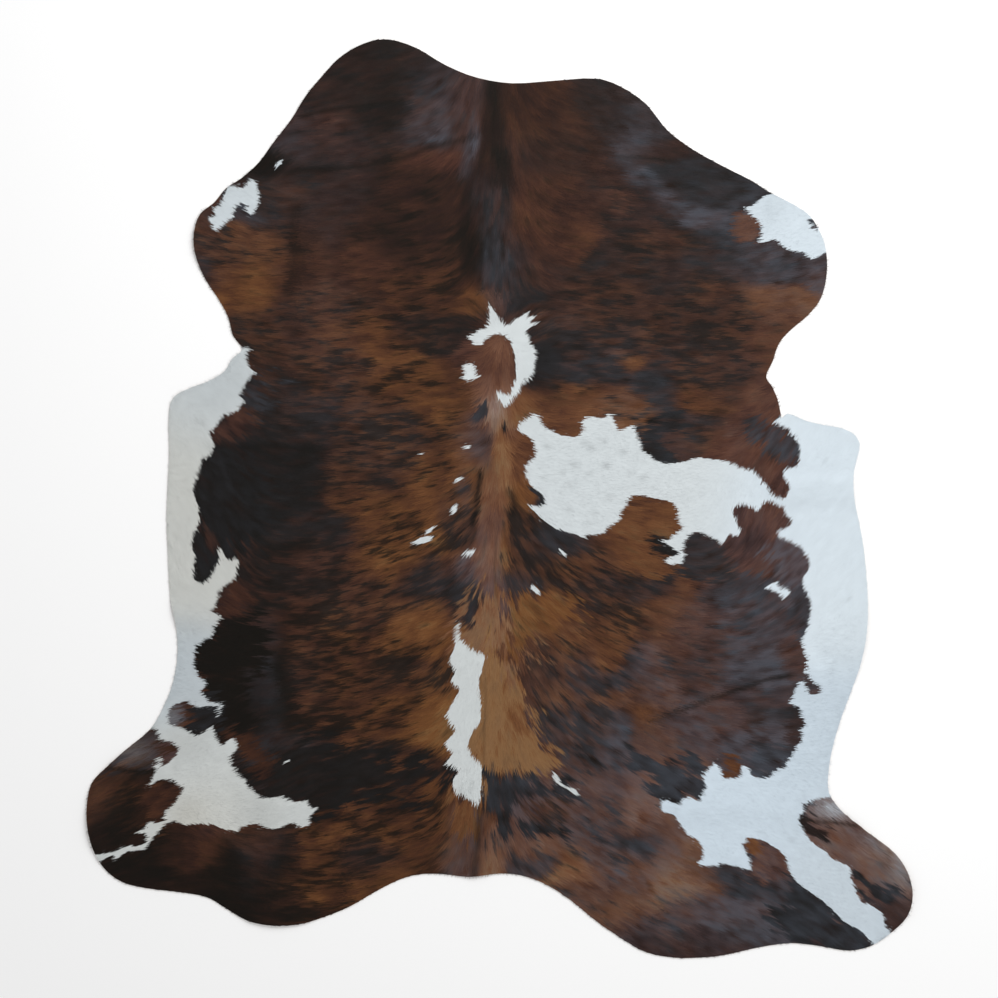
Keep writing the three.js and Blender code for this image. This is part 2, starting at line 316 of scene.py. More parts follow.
# Tawny runs from dark brown 0 through rust 0.5 to tan 1; black is the share of black hair and
# streak is how far the streaks swing it; red warms the ground, and the painted sheen is a
# blue-grey highlight painted into the colour of dark hair where it would catch the light.
coat = [
    # place, x, y, reach x, reach y, tawny, black, streak, red, painted sheen
    ("neck left top", -300, 1040, 110, 60, 0.20, 0.66, 0.10, 0.15, 0.05),
    ("neck left edge", -400, 1000, 60, 60, 0.25, 0.50, 0.10, 0.30, 0.05),
    ("neck left", -400, 880, 90, 50, 0.30, 0.45, 0.14, 0.55, 0.10),
    ("neck left gloss", -480, 865, 30, 40, 0.25, 0.35, 0.06, 0.40, 0.38),
    ("neck left rim", -560, 810, 60, 30, 0.12, 0.80, 0.08, 0.10, 0.00),
    ("neck left middle", -260, 960, 50, 60, 0.15, 0.74, 0.10, 0.10, 0.02),
    ("neck gloss", -150, 960, 50, 60, 0.28, 0.35, 0.14, 0.30, 0.35),
    ("neck gloss", -155, 890, 50, 30, 0.28, 0.32, 0.14, 0.30, 0.50),
    ("crest left", -80, 960, 30, 60, 0.38, 0.15, 0.10, 0.60, 0.20),
    ("crest left low", -95, 890, 25, 25, 0.40, 0.15, 0.10, 0.60, 0.05),
    ("crest gloss", -65, 865, 14, 40, 0.26, 0.25, 0.08, 0.25, 0.75),
    ("crest", -140, 825, 60, 22, 0.42, 0.10, 0.10, 0.70, 0.00),
    ("crest spine", -20, 900, 20, 110, 0.18, 0.50, 0.10, 0.35, 0.00),
    ("crest spine low", 5, 805, 17, 38, 0.10, 0.82, 0.10, 0.15, 0.00),
    ("neck right", 90, 940, 70, 60, 0.30, 0.24, 0.07, 0.22, 0.00),
    ("neck right dark", 230, 960, 60, 50, 0.20, 0.60, 0.08, 0.05, 0.10),
    ("neck right gloss", 300, 880, 32, 34, 0.30, 0.38, 0.06, 0.20, 0.50),
    ("neck right rim", 350, 920, 40, 50, 0.20, 0.50, 0.06, 0.10, 0.30),
    ("neck right low", 130, 840, 90, 50, 0.29, 0.38, 0.10, 0.25, 0.05),
    ("shoulder right rust", 400, 855, 60, 22, 0.25, 0.38, 0.12, 0.50, 0.04),
    ("shoulder gloss", 320, 775, 34, 26, 0.30, 0.35, 0.05, 0.25, 0.60),
    ("shoulder gloss", 390, 735, 34, 24, 0.30, 0.35, 0.05, 0.20, 0.78),
    ("shoulder gloss", 460, 700, 40, 22, 0.40, 0.20, 0.05, 0.10, 1.00),
    ("shoulder gloss", 540, 665, 34, 24, 0.22, 0.38, 0.05, 0.00, 1.00),
    ("shoulder right black", 480, 770, 100, 34, 0.12, 0.75, 0.08, 0.00, 0.20),
    ("shoulder right black", 600, 730, 50, 30, 0.12, 0.74, 0.06, 0.00, 0.38),
    ("shoulder right blue", 510, 640, 45, 30, 0.15, 0.75, 0.12, 0.00, 0.36),
    ("shoulder left olive", -530, 730, 40, 34, 0.33, 0.50, 0.14, 0.00, 0.15),
    ("shoulder left", -400, 700, 80, 90, 0.27, 0.42, 0.08, 0.40, 0.10),
    ("shoulder left fold", -450, 590, 30, 60, 0.24, 0.26, 0.14, 0.30, 0.00),
    ("shoulder left fold", -487, 560, 10, 70, 0.26, 0.40, 0.08, 0.20, 0.00),
    ("shoulder left low", -340, 590, 70, 60, 0.42, 0.20, 0.14, 0.50, 0.00),
    ("foreleg left", -620, 600, 80, 36, 0.53, 0.20, 0.30, 0.10, 0.08),
    ("foreleg left low", -610, 500, 60, 50, 0.68, 0.15, 0.14, 0.10, 0.00),
    ("foreleg left dark", -700, 565, 26, 34, 0.20, 0.65, 0.10, 0.10, 0.30),
    ("foreleg left under white", -620, 670, 40, 20, 0.20, 0.55, 0.14, 0.00, 0.60),
    ("foreleg left rim", -700, 690, 20, 24, 0.45, 0.30, 0.06, 0.30, 0.10),
    ("armpit left", -560, 420, 80, 36, 0.40, 0.50, 0.24, 0.10, 0.08),
    ("ribs left top", -420, 470, 90, 50, 0.42, 0.40, 0.25, 0.20, 0.10),
    ("ribs left orange", -290, 390, 60, 40, 0.58, 0.28, 0.28, 0.10, 0.00),
    ("withers left", -230, 700, 90, 80, 0.24, 0.44, 0.12, 0.42, 0.00),
    ("withers left dark", -270, 640, 60, 30, 0.20, 0.62, 0.12, 0.30, 0.00),
    ("withers left rust", -190, 520, 100, 50, 0.36, 0.40, 0.24, 0.15, 0.00),
    ("withers left orange", -50, 480, 34, 26, 0.64, 0.05, 0.08, 0.10, 0.00),
    ("withers left black", -140, 415, 60, 22, 0.30, 0.65, 0.25, 0.10, 0.05),
    ("mane left", -55, 600, 15, 58, 0.18, 0.70, 0.12, 0.15, 0.00),
    ("mane top", -10, 700, 24, 60, 0.24, 0.48, 0.20, 0.35, 0.20),
    ("mane low", 10, 560, 30, 50, 0.18, 0.60, 0.20, 0.10, 0.36),
    ("mane foot", -5, 490, 24, 26, 0.50, 0.15, 0.20, 0.50, 0.35),
    ("mane right", 55, 490, 36, 26, 0.10, 0.80, 0.12, 0.00, 0.15),
    ("withers right", 110, 700, 70, 80, 0.34, 0.20, 0.10, 0.42, 0.00),
    ("withers right spot", 180, 640, 30, 34, 0.44, 0.08, 0.08, 0.35, 0.00),
    ("withers right low", 120, 520, 80, 50, 0.33, 0.36, 0.16, 0.36, 0.05),
    ("shoulder right dark", 220, 570, 70, 30, 0.25, 0.60, 0.15, 0.00, 0.10),
    ("shoulder right", 300, 700, 90, 60, 0.30, 0.52, 0.22, 0.30, 0.08),
    ("shoulder right rust", 380, 615, 70, 30, 0.40, 0.38, 0.18, 0.20, 0.05),
    ("shoulder right streaks", 300, 470, 120, 60, 0.38, 0.52, 0.26, 0.10, 0.05),
    ("shoulder right olive", 400, 530, 70, 30, 0.30, 0.50, 0.15, 0.10, 0.10),
    ("shoulder right grey", 500, 545, 50, 24, 0.28, 0.52, 0.15, 0.20, 0.22),
    ("shoulder right streaks", 480, 430, 110, 50, 0.40, 0.50, 0.25, 0.15, 0.05),
    ("foreleg right dark", 680, 555, 70, 24, 0.28, 0.46, 0.15, 0.20, 0.46),
    ("foreleg left brown", -661, 533, 26, 24, 0.40, 0.20, 0.10, 0.35, 0.10),
    ("foreleg right tip", 750, 520, 30, 24, 0.42, 0.12, 0.10, 0.25, 0.65),
    ("foreleg right", 690, 460, 80, 36, 0.66, 0.06, 0.14, 0.10, 0.20),
    ("foreleg right low", 640, 390, 50, 34, 0.50, 0.12, 0.10, 0.45, 0.05),
    ("ribs right top", 200, 410, 120, 36, 0.35, 0.55, 0.30, 0.10, 0.15),
    ("ribs left rust", -260, 260, 110, 36, 0.54, 0.44, 0.32, 0.05, 0.00),
    ("ribs left by the spine", -120, 250, 50, 40, 0.56, 0.12, 0.16, 0.05, 0.00),
    ("ribs left brown", -146, 208, 30, 22, 0.42, 0.55, 0.20, 0.00, 0.00),
    ("ribs left umber", -447, 298, 26, 22, 0.60, 0.05, 0.10, 0.30, 0.00),
    ("ribs left dark", -250, 150, 90, 50, 0.50, 0.60, 0.38, 0.00, 0.10),
    ("ribs left by the spine", -110, 160, 40, 50, 0.60, 0.38, 0.35, 0.00, 0.02),
    ("ribs left streaks", -400, 330, 80, 60, 0.48, 0.30, 0.30, 0.25, 0.10),
    ("ribs left outer", -500, 310, 60, 60, 0.34, 0.56, 0.15, 0.25, 0.04),
    ("ribs left blue", -420, 230, 80, 40, 0.36, 0.64, 0.30, 0.05, 0.20),
    ("ribs left outer dark", -520, 190, 90, 40, 0.25, 0.70, 0.15, 0.10, 0.10),
    ("ribs left purple", -520, 50, 70, 70, 0.12, 0.85, 0.10, 0.20, 0.06),
    ("ribs left rust low", -380, 35, 70, 34, 0.46, 0.45, 0.28, 0.05, 0.05),
    ("loin left rust", -190, 20, 90, 50, 0.62, 0.20, 0.30, 0.10, 0.00),
    ("ribs left dark low", -290, 65, 70, 24, 0.40, 0.78, 0.30, 0.05, 0.08),
    ("loin left outer dark", -420, -70, 100, 36, 0.25, 0.80, 0.20, 0.20, 0.10),
    ("loin left rust", -290, -60, 60, 50, 0.62, 0.22, 0.30, 0.05, 0.00),
    ("loin left", -230, -140, 76, 50, 0.74, 0.24, 0.38, 0.05, 0.00),
    ("loin left gold", -187, -170, 26, 18, 0.75, 0.18, 0.25, 0.00, 0.00),
    ("flank left coal", -491, -137, 34, 26, 0.15, 0.85, 0.10, 0.10, 0.00),
    ("loin left umber", -371, -2, 30, 22, 0.40, 0.60, 0.25, 0.10, 0.00),
    ("loin left rust", -343, -319, 26, 20, 0.62, 0.05, 0.20, 0.10, 0.00),
    ("loin left umber", -304, -145, 30, 18, 0.50, 0.46, 0.30, 0.10, 0.00),
    ("loin left umber", -234, -84, 26, 16, 0.46, 0.45, 0.30, 0.00, 0.00),
    ("loin left black", -160, -200, 50, 36, 0.34, 0.72, 0.30, 0.00, 0.14),
    ("flank left", -420, -180, 90, 50, 0.40, 0.60, 0.35, 0.30, 0.05),
    ("flank left dark", -540, -180, 70, 60, 0.25, 0.70, 0.20, 0.40, 0.05),
    ("loin left low", -300, -260, 80, 40, 0.50, 0.50, 0.35, 0.15, 0.05),
    ("loin left orange", -180, -300, 56, 30, 0.78, 0.06, 0.20, 0.05, 0.00),
    ("loin left brown", -233, -320, 26, 18, 0.50, 0.42, 0.25, 0.00, 0.00),
    ("flank left red", -480, -320, 60, 60, 0.34, 0.50, 0.24, 0.40, 0.00),
    ("star heart", -20, 330, 34, 50, 0.50, 0.00, 0.05, 0.60, 0.05),
    ("star top", 5, 364, 16, 20, 0.78, 0.00, 0.05, 0.60, 0.10),
    ("spine tan", -15, 240, 25, 46, 1.00, 0.00, 0.05, 0.70, 0.30),
    ("spine right umber", 72, 220, 24, 24, 0.40, 0.15, 0.10, 0.30, 0.00),
    ("spine left", -45, 130, 20, 50, 0.45, 0.30, 0.15, 0.30, 0.35),
    ("spine bright", 8, 118, 16, 70, 0.92, 0.00, 0.05, 0.20, 0.05),
    ("spine shade", 20, 170, 12, 18, 0.62, 0.05, 0.05, 0.40, 0.10),
    ("spine right", 50, 110, 26, 40, 0.60, 0.05, 0.08, 0.30, 0.00),
    ("spine right top", 45, 215, 22, 24, 0.78, 0.00, 0.06, 0.20, 0.00),
    ("spine orange", 60, 25, 22, 36, 0.76, 0.00, 0.06, 0.00, 0.00),
    ("spine right tip", 95, 5, 14, 18, 0.30, 0.55, 0.10, 0.10, 0.20),
    ("spine middle", -20, 20, 20, 50, 0.73, 0.05, 0.08, 0.50, 0.05),
    ("spine middle mauve", -15, -40, 14, 22, 0.42, 0.12, 0.10, 0.55, 0.20),
    ("spine middle umber", -34, -85, 12, 20, 0.45, 0.22, 0.10, 0.50, 0.20),
    ("spine left gloss", -70, 10, 8, 50, 0.54, 0.32, 0.24, 0.20, 0.30),
    ("spine left tan", -52, 76, 22, 26, 0.82, 0.05, 0.12, 0.10, 0.00),
    ("loin left gold", -277, -17, 28, 24, 0.74, 0.00, 0.20, 0.05, 0.00),
    ("spine left fan", -100, -50, 30, 50, 0.44, 0.80, 0.38, 0.00, 0.10),
    ("spine middle low", -20, -110, 22, 60, 0.78, 0.02, 0.10, 0.70, 0.25),
    ("spine orange low", 12, -110, 9, 40, 0.80, 0.10, 0.15, 0.10, 0.00),
    ("spine low", -15, -200, 18, 36, 0.60, 0.05, 0.10, 0.70, 0.42),
    ("spine left mauve", -70, -165, 18, 26, 0.48, 0.30, 0.25, 0.60, 0.55),
    ("spine left blue", -80, -240, 40, 36, 0.24, 0.92, 0.22, 0.10, 0.24),
    ("loin left tan", -136, -254, 28, 22, 0.74, 0.00, 0.20, 0.10, 0.00),
    ("spine left umber", -91, -165, 22, 20, 0.36, 0.45, 0.20, 0.20, 0.05),
    ("fan right", 60, -80, 40, 56, 0.50, 0.70, 0.34, 0.00, 0.06),
    ("fan right black", 130, -90, 50, 26, 0.24, 0.74, 0.18, 0.00, 0.30),
    ("fan right low", 110, -150, 60, 50, 0.46, 0.64, 0.35, 0.00, 0.05),
    ("fan right blue", 60, -190, 40, 22, 0.30, 0.75, 0.25, 0.00, 0.30),
    ("ribs right black", 110, 320, 40, 50, 0.10, 0.80, 0.10, 0.00, 0.12),
    ("ribs right dark", 220, 320, 70, 34, 0.30, 0.65, 0.30, 0.10, 0.25),
    ("ribs right spot", 300, 320, 24, 14, 0.76, 0.10, 0.12, 0.10, 0.00),
    ("ribs right rust", 170, 265, 60, 26, 0.62, 0.15, 0.20, 0.25, 0.00),
    ("over the patch", 140, 195, 60, 34, 0.56, 0.05, 0.08, 0.35, 0.00),
    ("over the patch", 300, 215, 60, 34, 0.74, 0.15, 0.25, 0.10, 0.20),
    ("ribs right blue", 370, 265, 36, 40, 0.15, 0.80, 0.15, 0.00, 0.30),
    ("ribs right streaks", 470, 330, 100, 30, 0.38, 0.50, 0.30, 0.20, 0.10),
    ("ribs right rust", 480, 245, 60, 36, 0.55, 0.25, 0.25, 0.20, 0.00),
    ("ribs right red", 620, 240, 50, 50, 0.52, 0.12, 0.10, 0.60, 0.08),
    ("ribs right low", 430, 180, 60, 26, 0.20, 0.75, 0.20, 0.00, 0.20),
    ("ribs right low", 480, 140, 50, 26, 0.56, 0.25, 0.20, 0.40, 0.06),
    ("belly right", 560, 140, 40, 40, 0.46, 0.20, 0.15, 0.70, 0.05),
    ("ribs right umber", 543, 257, 30, 24, 0.35, 0.35, 0.15, 0.20, 0.10),
    ("belly right umber", 442, 131, 26, 24, 0.30, 0.35, 0.12, 0.10, 0.20),
    ("loin right spots", 250, -150, 60, 50, 0.60, 0.33, 0.36, 0.10, 0.05),
    ("loin right dark", 320, -210, 50, 30, 0.30, 0.65, 0.25, 0.10, 0.15),
    ("loin right streaks", 210, -240, 60, 40, 0.45, 0.56, 0.35, 0.10, 0.10),
    ("loin right gold", 112, -283, 26, 22, 0.84, 0.06, 0.15, 0.05, 0.00),
    ("loin right gold", 128, -231, 24, 18, 0.80, 0.00, 0.20, 0.05, 0.00),
    ("loin right brown", 270, -290, 60, 40, 0.67, 0.28, 0.35, 0.10, 0.05),
    ("loin right umber", 339, -328, 28, 24, 0.38, 0.36, 0.20, 0.20, 0.05),
    ("loin right rust", 400, -300, 50, 50, 0.63, 0.10, 0.12, 0.30, 0.04),
    ("flank right purple", 480, -290, 60, 60, 0.42, 0.25, 0.16, 0.60, 0.22),
    ("flank right lilac", 600, -280, 60, 50, 0.34, 0.32, 0.18, 0.40, 0.55),
    ("flank right dark", 560, -215, 60, 24, 0.24, 0.52, 0.10, 0.20, 0.42),
    ("flank right brown", 612, -88, 44, 38, 0.62, 0.00, 0.12, 0.45, 0.20),
    ("flank right rust", 420, -215, 30, 30, 0.58, 0.15, 0.10, 0.20, 0.05),
    ("side left", -330, -400, 80, 60, 0.46, 0.53, 0.38, 0.15, 0.00),
    ("side left dark", -230, -420, 56, 34, 0.30, 1.00, 0.25, 0.00, 0.05),
    ("side left light", -190, -366, 50, 20, 0.68, 0.22, 0.30, 0.00, 0.00),
    ("side left gold", -257, -494, 30, 20, 0.70, 0.15, 0.25, 0.00, 0.00),
    ("side left umber", -374, -414, 30, 22, 0.30, 0.75, 0.30, 0.00, 0.00),
    ("thigh left coal", -563, -476, 34, 46, 0.10, 0.92, 0.10, 0.00, 0.00),
    ("side left tan", -170, -440, 50, 30, 0.72, 0.38, 0.35, 0.00, 0.04),
    ("beside the stripe", -170, -540, 60, 50, 0.82, 0.05, 0.12, 0.00, 0.00),
    ("side left low", -300, -520, 80, 50, 0.52, 0.50, 0.40, 0.05, 0.00),
    ("side left outer", -430, -420, 50, 80, 0.38, 0.60, 0.30, 0.25, 0.05),
    ("side left gloss", -540, -430, 24, 90, 0.20, 0.60, 0.10, 0.20, 0.26),
    ("side left black", -500, -440, 34, 90, 0.00, 1.00, 0.06, 0.00, 0.00),
    ("side left outer low", -450, -530, 70, 50, 0.36, 0.58, 0.28, 0.30, 0.00),
    ("thigh left green", -470, -600, 50, 30, 0.15, 0.80, 0.10, 0.00, 0.20),
    ("thigh left", -300, -620, 100, 30, 0.30, 0.75, 0.30, 0.00, 0.05),
    ("thigh left streaks", -230, -720, 60, 24, 0.34, 0.72, 0.34, 0.00, 0.00),
    ("rump left dark", -246, -760, 36, 16, 0.28, 0.76, 0.30, 0.00, 0.00),
    ("rump left dark", -373, -755, 40, 20, 0.30, 0.64, 0.30, 0.00, 0.00),
    ("thigh left umber", -228, -644, 32, 18, 0.60, 0.12, 0.28, 0.00, 0.00),
    ("thigh left tan", -178, -721, 32, 18, 0.58, 0.12, 0.25, 0.00, 0.00),
    ("rump left rust", -310, -740, 40, 24, 0.55, 0.25, 0.20, 0.20, 0.00),
    ("rump left", -240, -800, 80, 36, 0.55, 0.40, 0.35, 0.05, 0.00),
    ("rump left dark", -310, -855, 50, 30, 0.30, 0.70, 0.30, 0.20, 0.10),
    ("rump left rim", -180, -860, 60, 34, 0.44, 0.36, 0.20, 0.00, 0.00),
    ("rump left umber", -118, -808, 22, 24, 0.46, 0.32, 0.20, 0.00, 0.00),
    ("rump spine", -13, -876, 18, 24, 0.86, 0.00, 0.05, 0.30, 0.20),
    ("rump left rim", -270, -900, 50, 34, 0.53, 0.12, 0.12, 0.05, 0.00),
    ("rump gloss", -90, -850, 24, 50, 0.52, 0.10, 0.08, 0.35, 0.42),
    ("haunch left", -420, -830, 80, 40, 0.50, 0.44, 0.32, 0.10, 0.00),
    ("haunch left tan", -420, -920, 70, 50, 0.50, 0.32, 0.25, 0.05, 0.00),
    ("haunch left grey", -560, -860, 34, 60, 0.44, 0.26, 0.12, 0.20, 0.14),
    ("haunch left dark", -508, -868, 28, 64, 0.16, 0.85, 0.10, 0.20, 0.05),
    ("haunch left umber", -572, -811, 24, 20, 0.42, 0.35, 0.15, 0.10, 0.00),
    ("haunch left dark", -473, -910, 20, 26, 0.16, 0.80, 0.10, 0.10, 0.00),
    ("haunch left black", -620, -930, 60, 60, 0.10, 0.92, 0.08, 0.00, 0.00),
    ("haunch left low", -510, -980, 70, 36, 0.28, 0.60, 0.20, 0.15, 0.00),
    ("haunch left red", -700, -850, 60, 40, 0.36, 0.15, 0.08, 0.35, 0.00),
    ("haunch left red", -620, -800, 40, 20, 0.38, 0.10, 0.06, 0.50, 0.05),
    ("leg left dark", -850, -880, 70, 40, 0.12, 0.80, 0.08, 0.40, 0.00),
    ("leg left", -770, -860, 50, 50, 0.24, 0.54, 0.10, 0.20, 0.00),
    ("leg left low", -720, -930, 50, 24, 0.18, 0.64, 0.05, 0.10, 0.00),
    ("loin right brown", 120, -400, 50, 50, 0.58, 0.30, 0.30, 0.10, 0.10),
    ("loin right tan", 206, -346, 30, 18, 0.66, 0.20, 0.25, 0.20, 0.00),
    ("loin right blue", 200, -420, 60, 34, 0.34, 0.84, 0.36, 0.10, 0.32),
    ("loin right mauve", 330, -420, 50, 40, 0.52, 0.22, 0.24, 0.40, 0.50),
    ("loin right orange", 250, -470, 50, 36, 0.66, 0.30, 0.30, 0.15, 0.15),
    ("thigh right black", 150, -520, 60, 40, 0.50, 0.62, 0.42, 0.00, 0.30),
    ("thigh right orange", 330, -530, 42, 38, 0.62, 0.10, 0.15, 0.10, 0.00),
    ("thigh right ash", 332, -488, 26, 22, 0.50, 0.20, 0.15, 0.40, 0.55),
    ("thigh right ash", 383, -523, 24, 20, 0.42, 0.25, 0.15, 0.35, 0.50),
    ("thigh right brown", 380, -580, 34, 30, 0.60, 0.10, 0.15, 0.30, 0.28),
    ("thigh right low", 200, -600, 60, 36, 0.42, 0.62, 0.40, 0.05, 0.34),
    ("thigh right blue", 290, -600, 40, 40, 0.34, 0.45, 0.26, 0.00, 0.85),
    ("side right brown", 430, -400, 60, 36, 0.40, 0.38, 0.22, 0.40, 0.22),
    ("side right", 520, -420, 40, 30, 0.38, 0.30, 0.18, 0.50, 0.28),
    ("side right gloss", 610, -400, 50, 34, 0.30, 0.36, 0.14, 0.20, 0.80),
    ("side right red", 700, -380, 30, 40, 0.45, 0.08, 0.10, 0.50, 0.25),
    ("side right low", 640, -460, 60, 24, 0.36, 0.35, 0.18, 0.50, 0.38),
    ("thigh right mauve", 470, -540, 60, 40, 0.44, 0.24, 0.18, 0.50, 0.50),
    ("thigh right red", 530, -520, 34, 30, 0.48, 0.15, 0.08, 0.70, 0.30),
    ("thigh right dark", 640, -520, 50, 20, 0.25, 0.60, 0.08, 0.20, 0.30),
    ("thigh right grey", 600, -570, 60, 30, 0.35, 0.30, 0.08, 0.30, 0.70),
    ("thigh right rim", 700, -560, 26, 40, 0.30, 0.50, 0.06, 0.40, 0.20),
    ("thigh right orange", 430, -615, 24, 14, 0.74, 0.05, 0.12, 0.20, 0.42),
    ("rump right pink", 360, -700, 36, 50, 0.84, 0.00, 0.16, 0.60, 0.55),
    ("rump right mauve", 250, -700, 60, 50, 0.50, 0.26, 0.28, 0.40, 0.42),
    ("rump right streaks", 250, -800, 80, 40, 0.54, 0.40, 0.32, 0.30, 0.50),
    ("rump right dark", 356, -796, 34, 18, 0.08, 0.95, 0.12, 0.00, 0.38),
    ("rump right mauve", 316, -821, 22, 14, 0.55, 0.10, 0.15, 0.45, 0.40),
    ("rump right orange", 385, -775, 30, 26, 0.66, 0.02, 0.10, 0.30, 0.34),
    ("haunch right bulge", 470, -840, 26, 30, 0.88, 0.00, 0.05, 0.10, 0.25),
    ("haunch right", 430, -830, 34, 30, 0.66, 0.12, 0.12, 0.35, 0.52),
    ("haunch right pale", 420, -900, 70, 48, 1.00, 0.00, 0.10, 0.35, 0.42),
    ("haunch right slate", 528, -862, 52, 20, 0.25, 0.62, 0.15, 0.20, 0.42),
    ("haunch right ash", 460, -1010, 40, 20, 0.50, 0.10, 0.12, 0.40, 0.70),
    ("haunch right umber", 339, -900, 24, 20, 0.50, 0.25, 0.20, 0.30, 0.35),
    ("haunch right orange", 500, -910, 20, 14, 0.62, 0.05, 0.05, 0.10, 0.10),
    ("rump right", 60, -830, 60, 26, 0.65, 0.17, 0.25, 0.40, 0.26),
    ("rump right grey", 70, -870, 50, 20, 0.30, 0.50, 0.15, 0.10, 0.50),
    ("rump right rust", 180, -880, 60, 30, 0.86, 0.06, 0.15, 0.40, 0.00),
    ("rump right low", 230, -940, 60, 34, 0.62, 0.18, 0.25, 0.35, 0.28),
    ("haunch right brown", 290, -960, 60, 34, 0.64, 0.16, 0.20, 0.20, 0.16),
    ("haunch right mauve", 300, -870, 64, 34, 0.62, 0.05, 0.22, 0.40, 0.60),
    ("haunch right dark", 380, -930, 40, 30, 0.76, 0.12, 0.18, 0.25, 0.52),
    ("haunch right purple", 400, -1000, 70, 30, 0.42, 0.40, 0.26, 0.40, 0.38),
    ("haunch right lilac", 520, -970, 60, 40, 0.46, 0.12, 0.15, 0.40, 0.85),
    ("haunch right rim", 440, -1070, 100, 20, 0.28, 0.30, 0.10, 0.60, 0.22),
    ("haunch right grey", 560, -920, 60, 26, 0.22, 0.74, 0.20, 0.10, 0.50),
    ("haunch right low", 560, -1040, 60, 24, 0.34, 0.35, 0.12, 0.15, 0.78),
    ("hind foot left", -930, -700, 50, 50, 0.42, 0.24, 0.16, 0.05, 0.06),
    ("hind foot left", -860, -720, 50, 50, 0.24, 0.58, 0.16, 0.00, 0.00),
    ("hind foot left low", -910, -800, 60, 50, 0.16, 0.74, 0.10, 0.10, 0.00),
    ("hind foot right", 850, -850, 70, 60, 0.72, 0.03, 0.10, 0.50, 0.46),
    ("hind foot right rim", 940, -880, 40, 50, 0.80, 0.05, 0.10, 0.20, 0.74),
    ("hind toe right", 950, -980, 36, 40, 0.26, 0.35, 0.06, 0.60, 0.14),
]
farCoat = (0.4, 0.4, 0.2, 0.2, 0.1)  # where no place above is near
